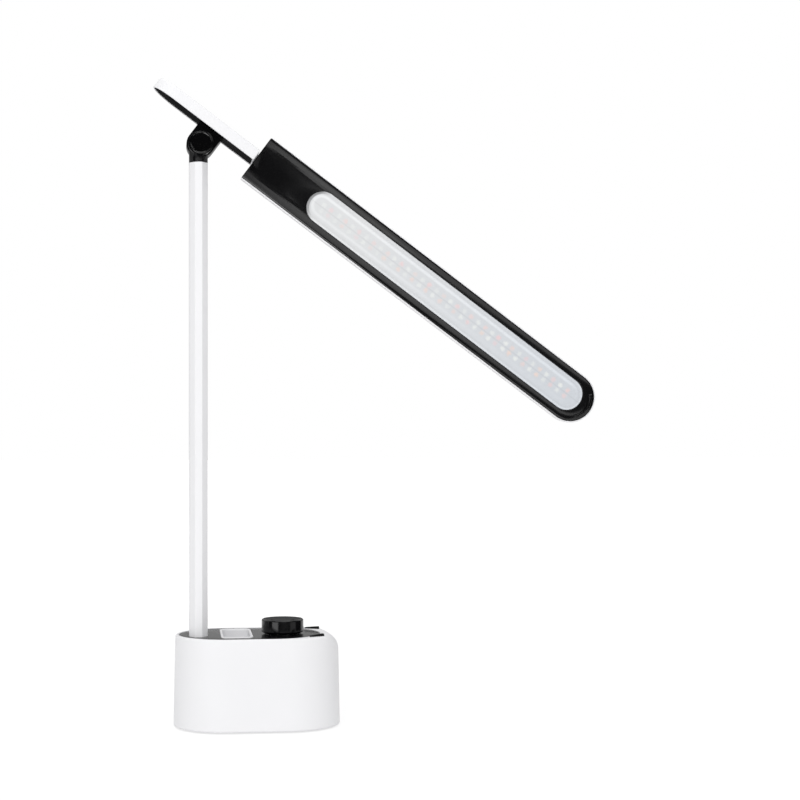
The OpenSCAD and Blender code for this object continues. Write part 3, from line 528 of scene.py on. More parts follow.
def handling_marks():
    """Soft, large marks where hands have been, and faint settled dust on faces that look up."""
    group, given, put_out = new_group(
        "handling marks", [("Scale", "Float", 26.0)], [("Smudge", "Float"), ("Dust", "Float")])
    space = own_space(group)
    smudge = noise(space, given["Scale"], 3.0, 0.55).remap(0.38, 0.64, smooth=True)
    up = split(from_geometry(group, "Normal"))[2].remap(0.75, 1.0)
    specks = noise(space, 900.0, 2.0, 0.7).remap(0.60, 0.72)
    put_out(Smudge=smudge, Dust=up * specks)
    return group


def brushed_lines():
    """Drawn or ground metal: long fine lines along one axis."""
    group, given, put_out = new_group(
        "brushed lines", [("Stretch", "Vector", (40.0, 3000.0, 3000.0))],
        [("Height", "Float"), ("Tone", "Float")])
    scaled = add_node(group, "VectorMath", [own_space(group), given["Stretch"]], operation="MULTIPLY")
    lines = noise(Value(scaled.outputs[0]), 1.0, 3.0, 0.6)
    put_out(Height=lines, Tone=lines.remap(0.3, 0.7))
    return group


LENS_COLOURS = {"Lens": "lens", "Lens tip": "lens_tip", "Cool": "cool", "Warm": "warm", "Rose": "rose"}


def light_spots():
    """The two rows of lights seen softly through the frosted lens, with its moulded inner ribs."""
    group, given, put_out = new_group(
        "light spots", [(label, "Color", (*user_colour(name), 1)) for label, name in LENS_COLOURS.items()],
        [("Color", "Color"), ("Frost", "Float")])
    space = own_space(group)
    origin, length_axis, width_axis = (ON_HEAD @ Vector(p) for p in ((0, 0, 0), (1, 0, 0), (0, 1, 0)))
    along, across = (measured_along(space, origin, axis - origin) for axis in (length_axis, width_axis))
    # distance in from the lens's edge
    gap = along - maths("MINIMUM", maths("MAXIMUM", along, LENS_A), LENS_B)
    inside = LENS_HALF - hypotenuse(gap, across)
    # which light, and how far from its middle
    step = (along - (LIGHTS_MID_X - (LIGHTS_IN_ROW - 1) / 2 * LIGHT_PITCH)) / LIGHT_PITCH
    whole = maths("ROUND", step)
    cell = add_node(group, "CombineXYZ", [whole, across > 0.0]).outputs[0]
    each = add_node(group, "TexWhiteNoise", noise_dimensions="2D")
    feed(cell, each.inputs["Vector"])
    shift, strength, hue = split(Value(each.outputs["Color"]), "SeparateColor")
    off = (step - whole) * LIGHT_PITCH + shift.remap(0.0, 1.0, -0.35, 0.35)
    distance = hypotenuse(off, abs(across) - ROW_Y)
    ragged = noise(space, 700.0, 1.0, 0.5).remap(0.3, 0.7, -0.45, 0.45)
    spot = (distance + ragged).remap(2.5, 0.5, smooth=True)
    real = (step > -0.5) * (step < LIGHTS_IN_ROW - 0.5)
    odd = ((whole + 100.0) % 2.0) > 0.5
    shown = spot * real * (strength.remap(0.0, 1.0, 0.5, 1.0) * along.remap(100.0, 260.0, 0.55, 0.95))
    light = blend(odd, given["Cool"], blend(hue, given["Warm"], given["Rose"]))
    # the frosted body: slightly mottled, with a soft rib that runs round inside its edge
    mottled = noise(space, 420.0, 3.0, 0.6).remap(0.3, 0.7, 0.985, 1.015)
    low_side = across.remap(-6.0, 6.0, smooth=True)
    near_end = along.remap(LENS_A, LENS_A - 9.0, smooth=True)
    tip_end = along.remap(LENS_B - 2.0, LENS_B + 6.0, smooth=True)
    centre = low_side.remap(0.0, 1.0, 4.1, 5.4) - near_end * 1.4
    bell = abs(inside - centre).remap(1.7, 0.2, smooth=True)
    height = (1.0 - low_side) * 0.165 + low_side * along.remap(150.0, 240.0, 0.10, 0.02)
    rib = bell * height * (1.0 - tip_end)
    # a painted highlight along its border, brighter along the lower side and round the tip and a touch darker
    # along the upper side; and the darker strips beside it and down the middle
    border = inside.remap(1.7, 0.9, smooth=True)
    rim = border * maths("MAXIMUM", low_side, tip_end).remap(0.0, 1.0, -0.04, 0.10)
    dark = near_end * inside.remap(2.2, 1.3, smooth=True) * 0.6
    strip = inside.remap(1.2, 1.8, smooth=True) * inside.remap(3.6, 2.6, smooth=True) * 0.045
    middle = abs(across).remap(0.8, 0.2, smooth=True) * 0.07
    tone = (mottled + rim + rib) - (strip + middle + dark)
    grey = Value(add_node(group, "CombineXYZ", [tone, tone, tone]).outputs[0])
    frost = blend(along.remap(120.0, 300.0), given["Lens"], given["Lens tip"])
    body = blend(1.0, frost, grey, "MULTIPLY")
    put_out(Color=blend(shown, body, light), Frost=noise(space, 2200.0, 2.0, 0.5))
    return group


EFFECTS = {
    "moulded grain": moulded_grain, "edge wear": edge_wear, "handling marks": handling_marks,
    "brushed lines": brushed_lines, "light spots": light_spots,
}


def effect(tree, name, inputs=()):
    """Places a shared effect in a material and gives its outputs by name. Its group is built only once."""
    group = bpy.data.node_groups.get(name) or EFFECTS[name]()
    node = add_node(tree, "Group", inputs, node_tree=group)
    return {socket.name: Value(socket) for socket in node.outputs}


# ---------------------------------------------------------------- finishes

def found_or_made(make):
    """Lets a finish be made the first time that its name is asked for, and found after that."""
    def finish(name, *values, **more):
        return bpy.data.materials.get(name) or make(name, *values, **more)
    return finish


def start_finish(name, roughness, metallic=0.0, specular=0.5):
    material = bpy.data.materials.new(name)
    material.use_nodes = True
    surface = material.node_tree.nodes["Principled BSDF"]
    for label, value in (("Roughness", roughness), ("Metallic", metallic), ("Specular IOR Level", specular)):
        feed(value, surface.inputs[label])
    return material, material.node_tree, surface


def dress(surface, colour, roughness, height, strength, distance):
    """Gives a surface its varied colour, gloss and relief."""
    relief = add_node(surface.id_data, "Bump", {"Strength": strength, "Distance": distance, "Height": height})
    for label, value in (("Base Color", colour), ("Roughness", roughness), ("Normal", relief.outputs[0])):
        feed(value, surface.inputs[label])


def darker(colour, share):
    return tuple(c * (1 - share) for c in colour)


def lighter(colour, share):
    return tuple(c + (1 - c) * share for c in colour)


@found_or_made
def moulded(name, colour, roughness, specular, grain, depth, worn, uneven, dusty=0.0):
    """Moulded plastic: mould grain, smudges in the gloss, edges rubbed a little lighter or smoother."""
    material, tree, surface = start_finish(name, roughness, specular=specular)
    marks = effect(tree, "handling marks")
    texture = effect(tree, "moulded grain", {"Scale": grain})
    wear = effect(tree, "edge wear")["Mask"]
    body = blend(marks["Smudge"], darker(colour, uneven), colour)
    speckled = blend(texture["Shade"], darker(colour, uneven), body)
    rubbed = blend(wear * worn, speckled, lighter(colour, 0.5))
    if dusty:
        rubbed = blend(marks["Dust"] * dusty, rubbed, (0.5, 0.49, 0.47))
    gloss = marks["Smudge"].remap(0.0, 1.0, roughness * 1.1, roughness * 0.93)
    dress(surface, rubbed, gloss - wear * (roughness * 0.12), texture["Height"], depth, 0.00005)
    return material


@found_or_made
def metal(name, colour, roughness, stretch, depth=0.25):
    """Drawn, ground or plated metal."""
    material, tree, surface = start_finish(name, roughness, 1.0)
    lines = effect(tree, "brushed lines", {"Stretch": stretch})
    marks = effect(tree, "handling marks")
    tone = blend(lines["Tone"], darker(colour, 0.14), colour)
    smudged = blend(marks["Smudge"], darker(colour, 0.1), tone)
    gloss = lines["Tone"].remap(0.0, 1.0, roughness + 0.08, roughness - 0.04)
    dress(surface, smudged, gloss, lines["Height"], depth, 0.00003)
    return material


@found_or_made
def rubber(name, colour, roughness):
    material, tree, surface = start_finish(name, roughness, specular=0.3)
    texture = effect(tree, "moulded grain", {"Scale": 1500.0})
    marks = effect(tree, "handling marks")
    body = blend(texture["Shade"], darker(colour, 0.25), colour)
    dusty = blend(marks["Dust"] * 0.3, body, (0.3, 0.3, 0.29))
    gloss = marks["Smudge"].remap(0.0, 1.0, roughness + 0.06, roughness - 0.06)
    dress(surface, dusty, gloss, texture["Height"], 0.3, 0.00008)
    return material


@found_or_made
def circuit_board(name, colour):
    """Lacquered board with the faint relief of its tracks."""
    material, tree, surface = start_finish(name, 0.35)
    tracks = add_node(tree, "TexBrick", {
        "Vector": own_space(tree), "Scale": 260.0, "Mortar Size": 0.06, "Color1": colour,
        "Color2": darker(colour, 0.25), "Mortar": lighter(colour, 0.08)})
    dress(surface, tracks.outputs["Color"], 0.35, tracks.outputs["Fac"], 0.3, 0.00003)
    return material


@found_or_made
def frosted(name):
    """The lens: frosted plastic over the two rows of lights."""
    material, tree, surface = start_finish(name, 0.42, specular=0.35)
    spots = effect(tree, "light spots", {label: user_colour(key) for label, key in LENS_COLOURS.items()})
    dress(surface, spots["Color"], spots["Frost"].remap(0.3, 0.7, 0.36, 0.48), spots["Frost"], 0.15, 0.00004)
    return material


@found_or_made
def turned_plastic(name, colour):
    """Satin plastic with fine turned rings about the knob's axis."""
    ring_pitch = 0.22 * MM
    material, tree, surface = start_finish(name, 0.14, specular=0.26)
    smudge = effect(tree, "handling marks", {"Scale": 60.0})["Smudge"]
    wear = effect(tree, "edge wear")["Mask"]
    grain = effect(tree, "moulded grain", {"Scale": 3400.0})["Height"]
    x, y, z = split(own_space(tree))
    reach = hypotenuse(x - KNOB_X * MM, y)
    rings = maths("SINE", reach * (2 * math.pi / ring_pitch))
    body = blend(smudge, colour, darker(colour, 0.2))
    rubbed = blend(wear * 0.01, body, (0.3, 0.3, 0.3))
    # the dished top is matt inside its polished rim
    top = (z > 71.0 * MM) * reach.remap(13.5 * MM, 13.2 * MM)
    gloss = smudge.remap(0.0, 1.0, 0.145, 0.13) + top * 0.5
    dress(surface, rubbed, gloss, rings * 0.3 + grain, 0.06, 0.00003)
    return material


def white_plastic():
    return moulded("white plastic", user_colour("white"), 0.42, 0.12, 3000.0, 0.08, 0.0, 0.012)


def liner_white():
    """White plastic of the pocket, with painted shade that greys it down inside, below its lip."""
    material = moulded("white liner", user_colour("white"), 0.48, 0.12, 2400.0, 0.12, 0.0, 0.02)
    base = material.node_tree.nodes["Principled BSDF"].inputs["Base Color"]
    unshaded_colour = Value(base.links[0].from_socket)
    # painted shade: the white goes greyer from just under the lip down into the pocket
    depth = split(own_space(material.node_tree))[2].remap(64.6 * MM, 63.4 * MM)
    feed(blend(depth * 0.2, unshaded_colour, (0.42, 0.42, 0.43)), base)
    return material


def hinge_black():
    return moulded("hinge black", (0.0035, 0.0035, 0.004), 0.14, 0.15, 2400.0, 0.1, 0.04, 0.15)


def knob_black():
    return turned_plastic("knob black", user_colour("black"))


# ---------------------------------------------------------------- the base

def half_at(z):
    """Distance of the base's side from its middle line at a height."""
    return BASE_HALF - LEAN * (z - SKIRT_Z)


def shoulder_width(cosine, rim):
    """How far the shoulder reaches in from the side, from a narrow rim to the wide right end."""
    cosine = max(cosine, 0.02)
    wide = (BASE_END_X + TOP_HALF * cosine - SHOULDER_X) / cosine
    return (rim + wide + math.sqrt((wide - rim) ** 2 + SHOULDER_BLEND ** 2)) / 2


def base_ring(rule):
    """Points round the base in plan. rule(cosine) gives (radius, z) on the right end, rule(0) on the left."""
    ring = []
    for end_x, first, right in ((BASE_END_X, -90, True), (-BASE_END_X, 90, False)):
        for k in range(PLAN_STEPS + 1):
            a = math.radians(first + 180 * k / PLAN_STEPS)
            radius, z = rule(math.cos(a) if right else 0.0)
            ring.append((end_x + radius * math.cos(a), radius * math.sin(a), z))
    return ring


def foot_ring(radius, z):
    return bar_ring(-BASE_END_X, BASE_END_X, radius, z, True, True, count=PLAN_STEPS)


def plate_ring(radius, z):
    return bar_ring(PLATE_X0, PLATE_X1, radius, z, True, True, count=PLAN_STEPS)


def post_ring(grow, z, edge=0.0):
    """The post's eight-sided section. grow moves its sides out, edge rounds its corners."""
    cham_x, cham_y = 3.9, 6.0
    hx, hy = POST_HALF_X + grow, POST_HALF_Y + grow
    length = math.hypot(cham_x, cham_y)
    rhs = cham_y * POST_HALF_X + cham_x * (POST_HALF_Y - cham_y) + grow * length
    x1 = (rhs - cham_x * hy) / cham_y
    y1 = (rhs - cham_y * hx) / cham_x
    corners = [(hx, -y1), (hx, y1), (x1, hy), (-x1, hy), (-hx, y1), (-hx, -y1), (-x1, -hy), (x1, -hy)]
    if edge <= 0:
        return [(POST_X + x, y, z) for x, y in corners]
    ring = []
    for i, corner in enumerate(corners):
        here, back, ahead = Vector(corner), Vector(corners[i - 1]), Vector(corners[(i + 1) % 8])
        a = here + (back - here).normalized() * edge
        b = here + (ahead - here).normalized() * edge
        for t in (0.0, 0.25, 0.5, 0.75, 1.0):
            p = a * (1 - t) ** 2 + here * 2 * t * (1 - t) + b * t ** 2
            ring.append((POST_X + p.x, p.y, z))
    return ring


def openings(gap):
    """Cuts through the base's top for the post, the pocket and the knob. gap is the pocket's clearance."""
    half_x, half_y, corner = CUP_HALF_X - gap, CUP_HALF_Y - gap, CUP_CORNER - gap
    return [loft([post_ring(POST_GAP, z) for z in (CUT_LOW, CUT_HIGH)]),
            loft([rect_ring(CUP_X, 0, half_x, half_y, corner, z) for z in (CUT_LOW, CUT_HIGH)]),
            rod(KNOB_HOLE_R, CUT_LOW, CUT_HIGH, (KNOB_X, 0, 0), steps=64)]


def make_base_shell():
    foot, rim = user_size("foot_round"), user_size("rim_round")

    def inner(inset, drop):
        def rule(cosine):
            grown = (shoulder_width(cosine, rim) - rim) / SHOULDER_SPAN
            z = CEILING_Z - INNER_DROP * grown * drop
            return half_at(z) - BASE_WALL - INNER_STEP * grown * inset, z
        return rule

    def outer(inset, drop):
        def rule(cosine):
            wide = shoulder_width(cosine, rim)
            tall = rim + SHOULDER_SPAN * max((wide - rim) / SHOULDER_SPAN, 0) ** 1.5
            z = RIM_Z - tall * drop
            return half_at(z) - wide * inset, z
        return rule

    rings = [base_ring(inner(inset, drop)) for inset, drop in reversed(round_steps(5))]
    rings += [foot_ring(half_at(z) - BASE_WALL, z) for z in (30.0, FLOOR_Z)]
    for inset, drop in round_steps(5):
        rings.append(foot_ring(half_at(SKIRT_Z) - foot * drop, FLOOR_Z + foot * inset))
    rings += [foot_ring(half_at(z), z) for z in (2.6, 10.0, 30.0, 48.0)]
    rings += [base_ring(outer(inset, drop)) for inset, drop in round_steps(12)]
    recess = ((34.15, RIM_Z), (33.98, 64.23), (33.9, 64.05), (33.9, SEAT_Z))
    rings += [plate_ring(radius, z) for radius, z in recess]
    shell = mesh_object("base_shell", *loft(rings))
    bosses = []
    for angle, end_x in BOSS_ENDS:
        x, y = swung(BOSS_REACH, 0, angle, end_x)
        line = [(1.5, BOSS_LOW), (3.2, BOSS_LOW), (3.2, BOSS_HIGH), (2.6, 20.3), (1.5, 20.3)]
        bosses.append(turned(line, (x, y, 0), steps=32, closed=True))
        web = [swung(BOSS_REACH + reach, out, angle, end_x)
               for reach, out in ((2.9, -1.0), (8.1, -1.0), (8.1, 1.0), (2.9, 1.0))]
        bosses.append(loft([[(x, y, z) for x, y in web] for z in (BOSS_LOW, BOSS_HIGH)]))
    for x, y in BOARD_BOSSES:
        line = [(1.05, 50.6), (2.6, 50.6), (2.6, 60.3), (1.05, 60.3)]
        bosses.append(turned(line, (x, y, 0), steps=28, closed=True))
    combine(shell, "UNION", *bosses)
    port = arc(CUP_X + 2.85, PORT_Z, 2.0, -90, 90, 10) + arc(CUP_X - 2.85, PORT_Z, 2.0, 90, 270, 10)
    combine(shell, "DIFFERENCE", *openings(0.45), loft([[(x, y, z) for x, z in port] for y in (33.0, 42.0)]))
    finish_piece(shell, "stand", "white_shell", white_plastic(), "base_shell")


def make_top_plate():
    edge = user_size("plate_edge")
    rings = [plate_ring(PLATE_R, SEAT_Z)]
    rings += [plate_ring(PLATE_R - edge * inset, PLATE_Z - edge * drop) for inset, drop in round_steps(4)]
    plate = mesh_object("top_plate", *loft(rings))
    combine(plate, "DIFFERENCE", *openings(0.525))
    gloss = moulded("gloss black", user_colour("gloss"), 0.16, 0.28, 1500.0, 0.10, 0.02, 0.2, 0.12)
    finish_piece(plate, "stand", "gloss_black", gloss, "top_plate")


def make_pen_cup():
    """Pocket liner: floor, walls with a little draft inside, and a thin lip that lies on the plate."""
    # how far each ring stands in from the lip's edge, its corner radius and its height
    levels = ((4.2, 1.6, 17.8), (2.4, 2.2, 17.85), (1.9, 3.0, 18.3), (1.7, 3.3, 19.2), (1.7, 3.3, 63.6),
              (1.62, 3.4, 64.3), (1.4, 3.6, 64.65), (1.05, 3.95, 64.8), (0.45, 4.55, 64.8),
              (0.13, 4.87, 64.67), (0.0, 5.0, 64.35), (0.0, 5.0, PLATE_Z), (0.6, 4.4, PLATE_Z),
              (0.6, 4.4, 17.2), (1.1, 3.9, 16.45), (1.9, 3.1, 16.3))
    rings = [rect_ring(CUP_X, 0, CUP_HALF_X - inset, CUP_HALF_Y - inset, corner, z)
             for inset, corner, z in levels]
    cup = mesh_object("pen_cup", *loft(rings))
    finish_piece(cup, "stand", "white_liner", liner_white(), "pen_cup")


def make_rest_ridges():
    """Two soft ramps beside the plate's round end that a phone leans on."""
    # distance along the ridge, height and half width
    stations = ((0.0, 0.62, 0.85), (0.12, 0.82, 1.05), (0.5, 0.94, 1.2), (4.0, 1.27, 1.2), (7.5, 1.59, 1.2),
                (9.7, 1.79, 1.2), (10.15, 1.72, 1.2), (10.45, 1.5, 1.12), (10.6, 1.15, 0.9))
    solids = []
    for side in (-1, 1):
        start = swung(35.55, 0, side * 45, PLATE_X1)
        rings = []
        for x, tall, half in stations:
            soft = min(0.45, tall * 0.45)
            line = [(-half, 0.0), (half, 0.0)]
            line += arc(half - soft, tall - soft, soft, 0, 90, 4)
            line += arc(soft - half, tall - soft, soft, 90, 180, 4)
            rings.append([(*swung(x, y, -side * 24, *start), RIM_Z + z) for y, z in line])
        solids.append(loft(rings))
    ridges = mesh_object("rest_ridges", *together(*solids))
    black = rubber("ridge rubber", (0.006, 0.006, 0.006), 0.7)
    finish_piece(ridges, "stand", "ridge_rubber", black, "rest_ridges")


def make_rubber_pad():
    """Foot pad with softened edges and a shallow ribbed tread underneath."""
    levels = ((22.6, 0.35), (22.75, 0.0), (24.1, 0.0), (24.4, 0.12), (24.5, 0.4), (24.5, 2.2))
    pad = mesh_object("rubber_pad", *loft([foot_ring(radius, z) for radius, z in levels]))
    ribs = [soft_box((-36 + 9 * i, -19, 0.0), (-31.5 + 9 * i, 19, 0.6), 1.5, 0.15) for i in range(8)]
    combine(pad, "UNION", *ribs)
    finish_piece(pad, "stand", "pad_rubber", rubber("pad rubber", (0.03, 0.03, 0.031), 0.8), "rubber_pad")


# ---------------------------------------------------------------- the knob and its button

def make_dimmer_knob():
    """Knob with a flared foot, a plain side, a bevelled rim and a dished top round the button's hole."""
    low, high, hole = KNOB_LOW, KNOB_HIGH, KNOB_FLOOR_Z
    stem = [(2.58, 52.6), (4.5, 52.6), (4.5, 69.4), (9.8, 69.4), (9.8, low + 0.3), (10.1, low)]
    # radius, and height above the knob's foot or below its top
    foot = ((12.6, 0), (12.9, 0.05), (13.1, 0.2), (14.45, 0.95), (14.65, 1.15), (KNOB_R, 1.45), (KNOB_R, 1.7))
    rim = ((KNOB_R, 1.2), (KNOB_R, 0.95), (14.66, 0.8), (14.55, 0.66), (13.98, 0.1), (13.8, 0.01), (13.6, 0))
    dish = ((13.2, 0.03), (12.6, 0.16), (11.6, 0.39), (10.4, 0.58), (9.2, 0.68), (8.6, 0.7), (8.34, 0.76),
            (8.22, 0.9))
    line = stem + [(radius, low + up) for radius, up in foot]
    line += [(radius, high - down) for radius, down in rim + dish]
    line += [(8.12, hole + 0.15), (8.0, hole), (2.58, hole)]
    knob = mesh_object("dimmer_knob", *turned(line, (KNOB_X, 0, 0), steps=144, closed=True), 34.0)
    finish_piece(knob, "knob", "satin_black", knob_black(), "dimmer_knob")


def make_power_button():
    line = [(2.5, 52.45), (2.5, 72.05), (2.7, 72.2), (7.6, 72.2), (7.92, 72.3), (8.0, 72.5), (8.0, 73.55),
            (7.93, 73.8), (7.7, 73.96), (7.3, 74.0), (6.6, 73.95), (5.2, 73.8), (3.2, 73.68), (1.2, 73.64)]
    button = mesh_object("power_button", *turned(line, (KNOB_X, 0, 0)), 34.0)
    finish_piece(button, "button", "satin_black", knob_black(), "power_button")


# ---------------------------------------------------------------- the post and the hinge

def make_post_tube():
    edge = user_size("post_edge")
    levels = [(0.0, z, edge) for z in (16.0, 64.0, 228.0, POST_TOP_Z - 0.3)]
    levels += [(-0.12, POST_TOP_Z - 0.05, edge), (-0.3, POST_TOP_Z, edge)]
    levels += [(-1.5, z, 0.3) for z in (POST_TOP_Z, 16.0)]
    tube = mesh_object("post_tube", *loft([post_ring(*level) for level in levels], closed=True))
    combine(tube, "DIFFERENCE", rod(1.8, 0.0, 12.0, (POST_X, 0, 24.0), "X", 32),
            rod(1.3, 0.0, 22.0, (POST_X, 0, POST_SCREW_Z), "Y", 32), sharp=20.0)
    finish_piece(tube, "stand", "white_shell", white_plastic(), "post_tube")


def make_hinge_yoke():
    """Black collar on the post with two round cheeks, and the plug that stands inside the post."""
    levels = ((-1.6, 369.8), (-1.6, POST_TOP_Z), (0, POST_TOP_Z), (0, HINGE_Z))
    yoke = mesh_object("hinge_yoke", *loft([post_ring(grow, z) for grow, z in levels]))
    pin = (HINGE.x, 0, HINGE.z)
    combine(yoke, "UNION", rod(CHEEK_R, SLOT_Y, CHEEK_Y, pin, "Y"), rod(CHEEK_R, -CHEEK_Y, -SLOT_Y, pin, "Y"))
    combine(yoke, "DIFFERENCE", rod(10.3, -SLOT_Y, SLOT_Y, pin, "Y"))
    soften(yoke, user_size("small_edge"))
    bore = [(5.1, -20.0), (5.1, -13.0), (3.05, -13.0), (3.05, 13.0), (5.1, 13.0), (5.1, 20.0)]
    combine(yoke, "DIFFERENCE", turned(bore, pin, "Y", 64))
    combine(yoke, "DIFFERENCE", rod(1.9, 360.0, 410.0, (-44.05, 0, 0), steps=32),
            rod(1.0, 7.5, 17.5, (POST_X, 0, POST_SCREW_Z), "Y", 24))
    finish_piece(yoke, "stand", "hinge_black", hinge_black(), "hinge_yoke")


def make_hinge_caps():
    """A cap over each end of the pin: spigot, bevelled rim and a face set back inside a fine ring."""
    line = [(4.9, -0.35), (5.0, -0.4), (5.0, 0.0), (7.75, 0.0), (7.9, 0.12), (7.9, 0.62), (7.82, 0.82),
            (7.55, 1.08), (7.38, 1.17), (7.1, 1.2), (6.95, 1.16), (6.75, 0.95), (6.55, 0.9), (6.4, 0.9),
            (5.0, 0.9)]
    solids = [turned([(radius, side * (CHEEK_Y + out)) for radius, out in line], (HINGE.x, 0, HINGE.z), "Y")
              for side in (-1, 1)]
    caps = mesh_object("hinge_caps", *together(*solids), 34.0)
    black = moulded("cap black", (0.002, 0.002, 0.0022), 0.08, 0.5, 3000.0, 0.03, 0.0, 0.1)
    finish_piece(caps, "stand", "hinge_black", black, "hinge_caps")


def make_hinge_lug():
    """Block under the arm that turns between the cheeks: a rounded lug, small facets and a screwed flange."""
    top = [(LUG_R, 3.0), (LUG_R, LUG_TOP_Z), (-LUG_R, LUG_TOP_Z), (-LUG_R, 3.0)]
    outline = arc(0, 0, LUG_R, 180, 360, 30) + top
    rings = []
    for y, inset in ((-9.1, 0.5), (-8.95, 0.15), (-8.6, 0.0), (8.6, 0.0), (8.95, 0.15), (9.1, 0.5)):
        share = (LUG_R - inset) / LUG_R
        rings.append([(x * share, y, z * share if z < 3.0 else z) for x, z in outline])
    lug = mesh_object("hinge_lug", *loft(rings))
    combine(lug, "UNION", soft_box((-15.7, -11.0, 14.0), (15.7, 11.0, 15.5), 2.0, 0.2))
    screw = [(2.25, 13.0), (2.2, 14.0), (1.15, 15.05), (1.15, 17.0)]
    combine(lug, "DIFFERENCE", rod(4.0, -12.0, 12.0, axis="Y", steps=64),
            *(turned(screw, (x, y, 0), steps=32) for x, y in LUG_SCREWS))
    finish_piece(lug, "arm", "hinge_black", hinge_black(), "hinge_lug", place=ON_HINGE)


# ---------------------------------------------------------------- the arm and the light head

def shell_rings(xa, xb, half, edge, round_a):
    """An open tray seen in section: cavity, ledge for the cover, lip, side and rounded outer edge."""
    def ring(inset, end, z, corner):
        if round_a:
            return bar_ring(xa, xb - end, half - inset, z, True, False, corner)
        return bar_ring(xa + end, xb, half - inset, z, False, True, corner)

    # how far each ring stands in from the shell's side, its height and its square corners' radius
    levels = ((WALL_T + 0.6, SKIN_Z, 0.6), (WALL_T + 0.17, SKIN_Z - 0.17, 0.6), (WALL_T, SKIN_Z - 0.6, 0.6),
              (WALL_T, SHELF_Z, 0.6), (LIP_T, SHELF_Z, 0.5), (LIP_T, -HALF_T + 0.15, 0.5),
              (LIP_T - 0.12, -HALF_T, 0.55), (0.47, -HALF_T, 0.7), (0.31, -HALF_T + 0.1, 0.72),
              (0.13, -HALF_T + 0.28, 0.75), (0.01, -HALF_T + 0.4, 0.8))
    rings = [ring(inset, inset, z, corner) for inset, z, corner in levels]
    for inset, drop in round_steps(6):
        inset *= edge
        rings.append(ring(inset, min(inset, 0.9), HALF_T - edge * drop, 0.8 + inset))
    return rings


def make_arm_shell():
    shell = mesh_object("arm_shell", *loft(shell_rings(
        ARM_TAIL_X, ARM_FRONT_X, ARM_HALF, user_size("shell_edge"), True)))
    boss = [(1.1, -0.95), (2.4, -0.95), (2.4, 3.0), (1.1, 3.0)]
    combine(shell, "UNION", *(turned(boss, (x, y, 0), steps=28, closed=True) for x, y in LUG_SCREWS))
    combine(shell, "DIFFERENCE", rod(SHAFT_R, 30.0, 40.0, axis="X", steps=40))
    finish_piece(shell, "arm", "white_shell", white_plastic(), "arm_shell", place=ON_ARM)


def make_arm_cover():
    end = ARM_FRONT_X - 1.0
    levels = ((0, SHELF_Z), (0, -3.3), (0.05, -3.48), (0.2, -3.6), (0.5, -3.65))
    rings = [bar_ring(ARM_TAIL_X, end - inset, COVER_HALF - inset, z, True, False) for inset, z in levels]
    plate = mesh_object("arm_cover", *loft(rings))
    combine(plate, "DIFFERENCE", soft_box((-9.85, -9.25, -8.0), (9.85, 9.25, 4.0), 0.6, 0.05))
    black = moulded("cover black", user_colour("black"), 0.6, 0.006, 2600.0, 0.12, 0.03, 0.12)
    finish_piece(plate, "arm", "satin_black", black, "arm_cover", place=ON_ARM)


def make_head_shell():
    shell = mesh_object("head_shell", *loft(shell_rings(
        JOINT_X, TIP_X, HEAD_HALF, user_size("shell_edge"), False)))
    gap = loft([rect_ring(JOINT_X - 1.05, 0, 2.95, HEAD_HALF - LIP_T, 0.05, z, 1) for z in (-8.0, SHELF_Z)])
    combine(shell, "DIFFERENCE", gap, rod(SHAFT_R, 33.0, 39.0, axis="X", steps=40))
    finish_piece(shell, "head", "white_shell", white_plastic(), "head_shell", place=ON_HEAD)


def lens_ring(half, z):
    return bar_ring(LENS_A, LENS_B, half, z, True, True)


def make_head_bezel():
    """Black frame round the lens: flat middle, falling shoulders and a low ridge round the tip."""
    def ring(end, half, z, corner=0.4):
        return bar_ring(JOINT_X + end, TIP_X, half, z, False, True, corner)

    reach = BEZEL_HALF - user_size("bezel_flat")
    rings = [ring(WALL_T + 1.4, 13.9, -4.5, 1.0), ring(WALL_T, 15.3, -3.3, 1.0),
             ring(WALL_T, 15.3, SHELF_Z, 1.0), ring(0.0, BEZEL_HALF, SHELF_Z)]
    for inset, drop in reversed(round_steps(14)):
        z = BEZEL_Z + SHOULDER_DROP * inset
        end = END_SOFT * max((BEZEL_Z + END_SOFT - z) / END_SOFT, 0.0) ** 2
        rings.append(ring(end, BEZEL_HALF - reach * drop, z))
    bezel = mesh_object("head_bezel", *loft(rings))
    opening = ((12.3, -6.6), (12.3, -5.97), (12.05, -5.93), (11.8, -5.8), (11.63, -5.55), (11.6, -5.2),
               (11.6, 0.0))
    combine(bezel, "DIFFERENCE", loft([lens_ring(half, z) for half, z in opening]), sharp=40.0)
    ridge = []
    for k in range(33):
        degrees = -45 + 90 * k / 32
        fade = min(1.0, (1 - abs(degrees) / 45) / 0.10)
        fade = math.sqrt(max(fade * (2 - fade), 0.0))
        low, high = -5.6, -5.9 - 0.95 * max(fade, 0.04)
        outline = ((13.1, low), (13.1, high + 0.35 * fade), (13.2, high + 0.12 * fade), (13.45, high),
                   (14.6, high), (14.95, high + 0.1 * fade), (15.15, high + 0.35 * fade), (15.3, low))
        ridge.append([(*swung(radius, 0, degrees, TIP_X), z) for radius, z in outline])
    combine(bezel, "UNION", loft(ridge), sharp=40.0)
    black = moulded("satin black", user_colour("black"), 0.155, 0.42, 3400.0, 0.04, 0.02, 0.12)
    finish_piece(bezel, "head", "satin_black", black, "head_bezel", place=ON_HEAD)


def make_diffuser():
    inside = ((9.7, -5.0), (10.3, -4.4), (10.3, -3.6))
    outside = ((12.8, -3.6), (12.8, -4.47), (LENS_HALF, -4.47), (LENS_HALF, -5.55), (11.45, -5.8),
               (11.3, -6.0), (11.05, -6.13), (10.7, -6.2))
    lens = mesh_object("diffuser", *loft([lens_ring(half, z) for half, z in inside + outside]), 34.0)
    finish_piece(lens, "head", "lens_frost", frosted("frosted lens"), "diffuser", place=ON_HEAD)


# ---------------------------------------------------------------- pieces that keep their solids

def give_finish(finish, *names):
    for name in names:
        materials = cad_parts[name].data.materials
        materials.clear()
        materials.append(finish)


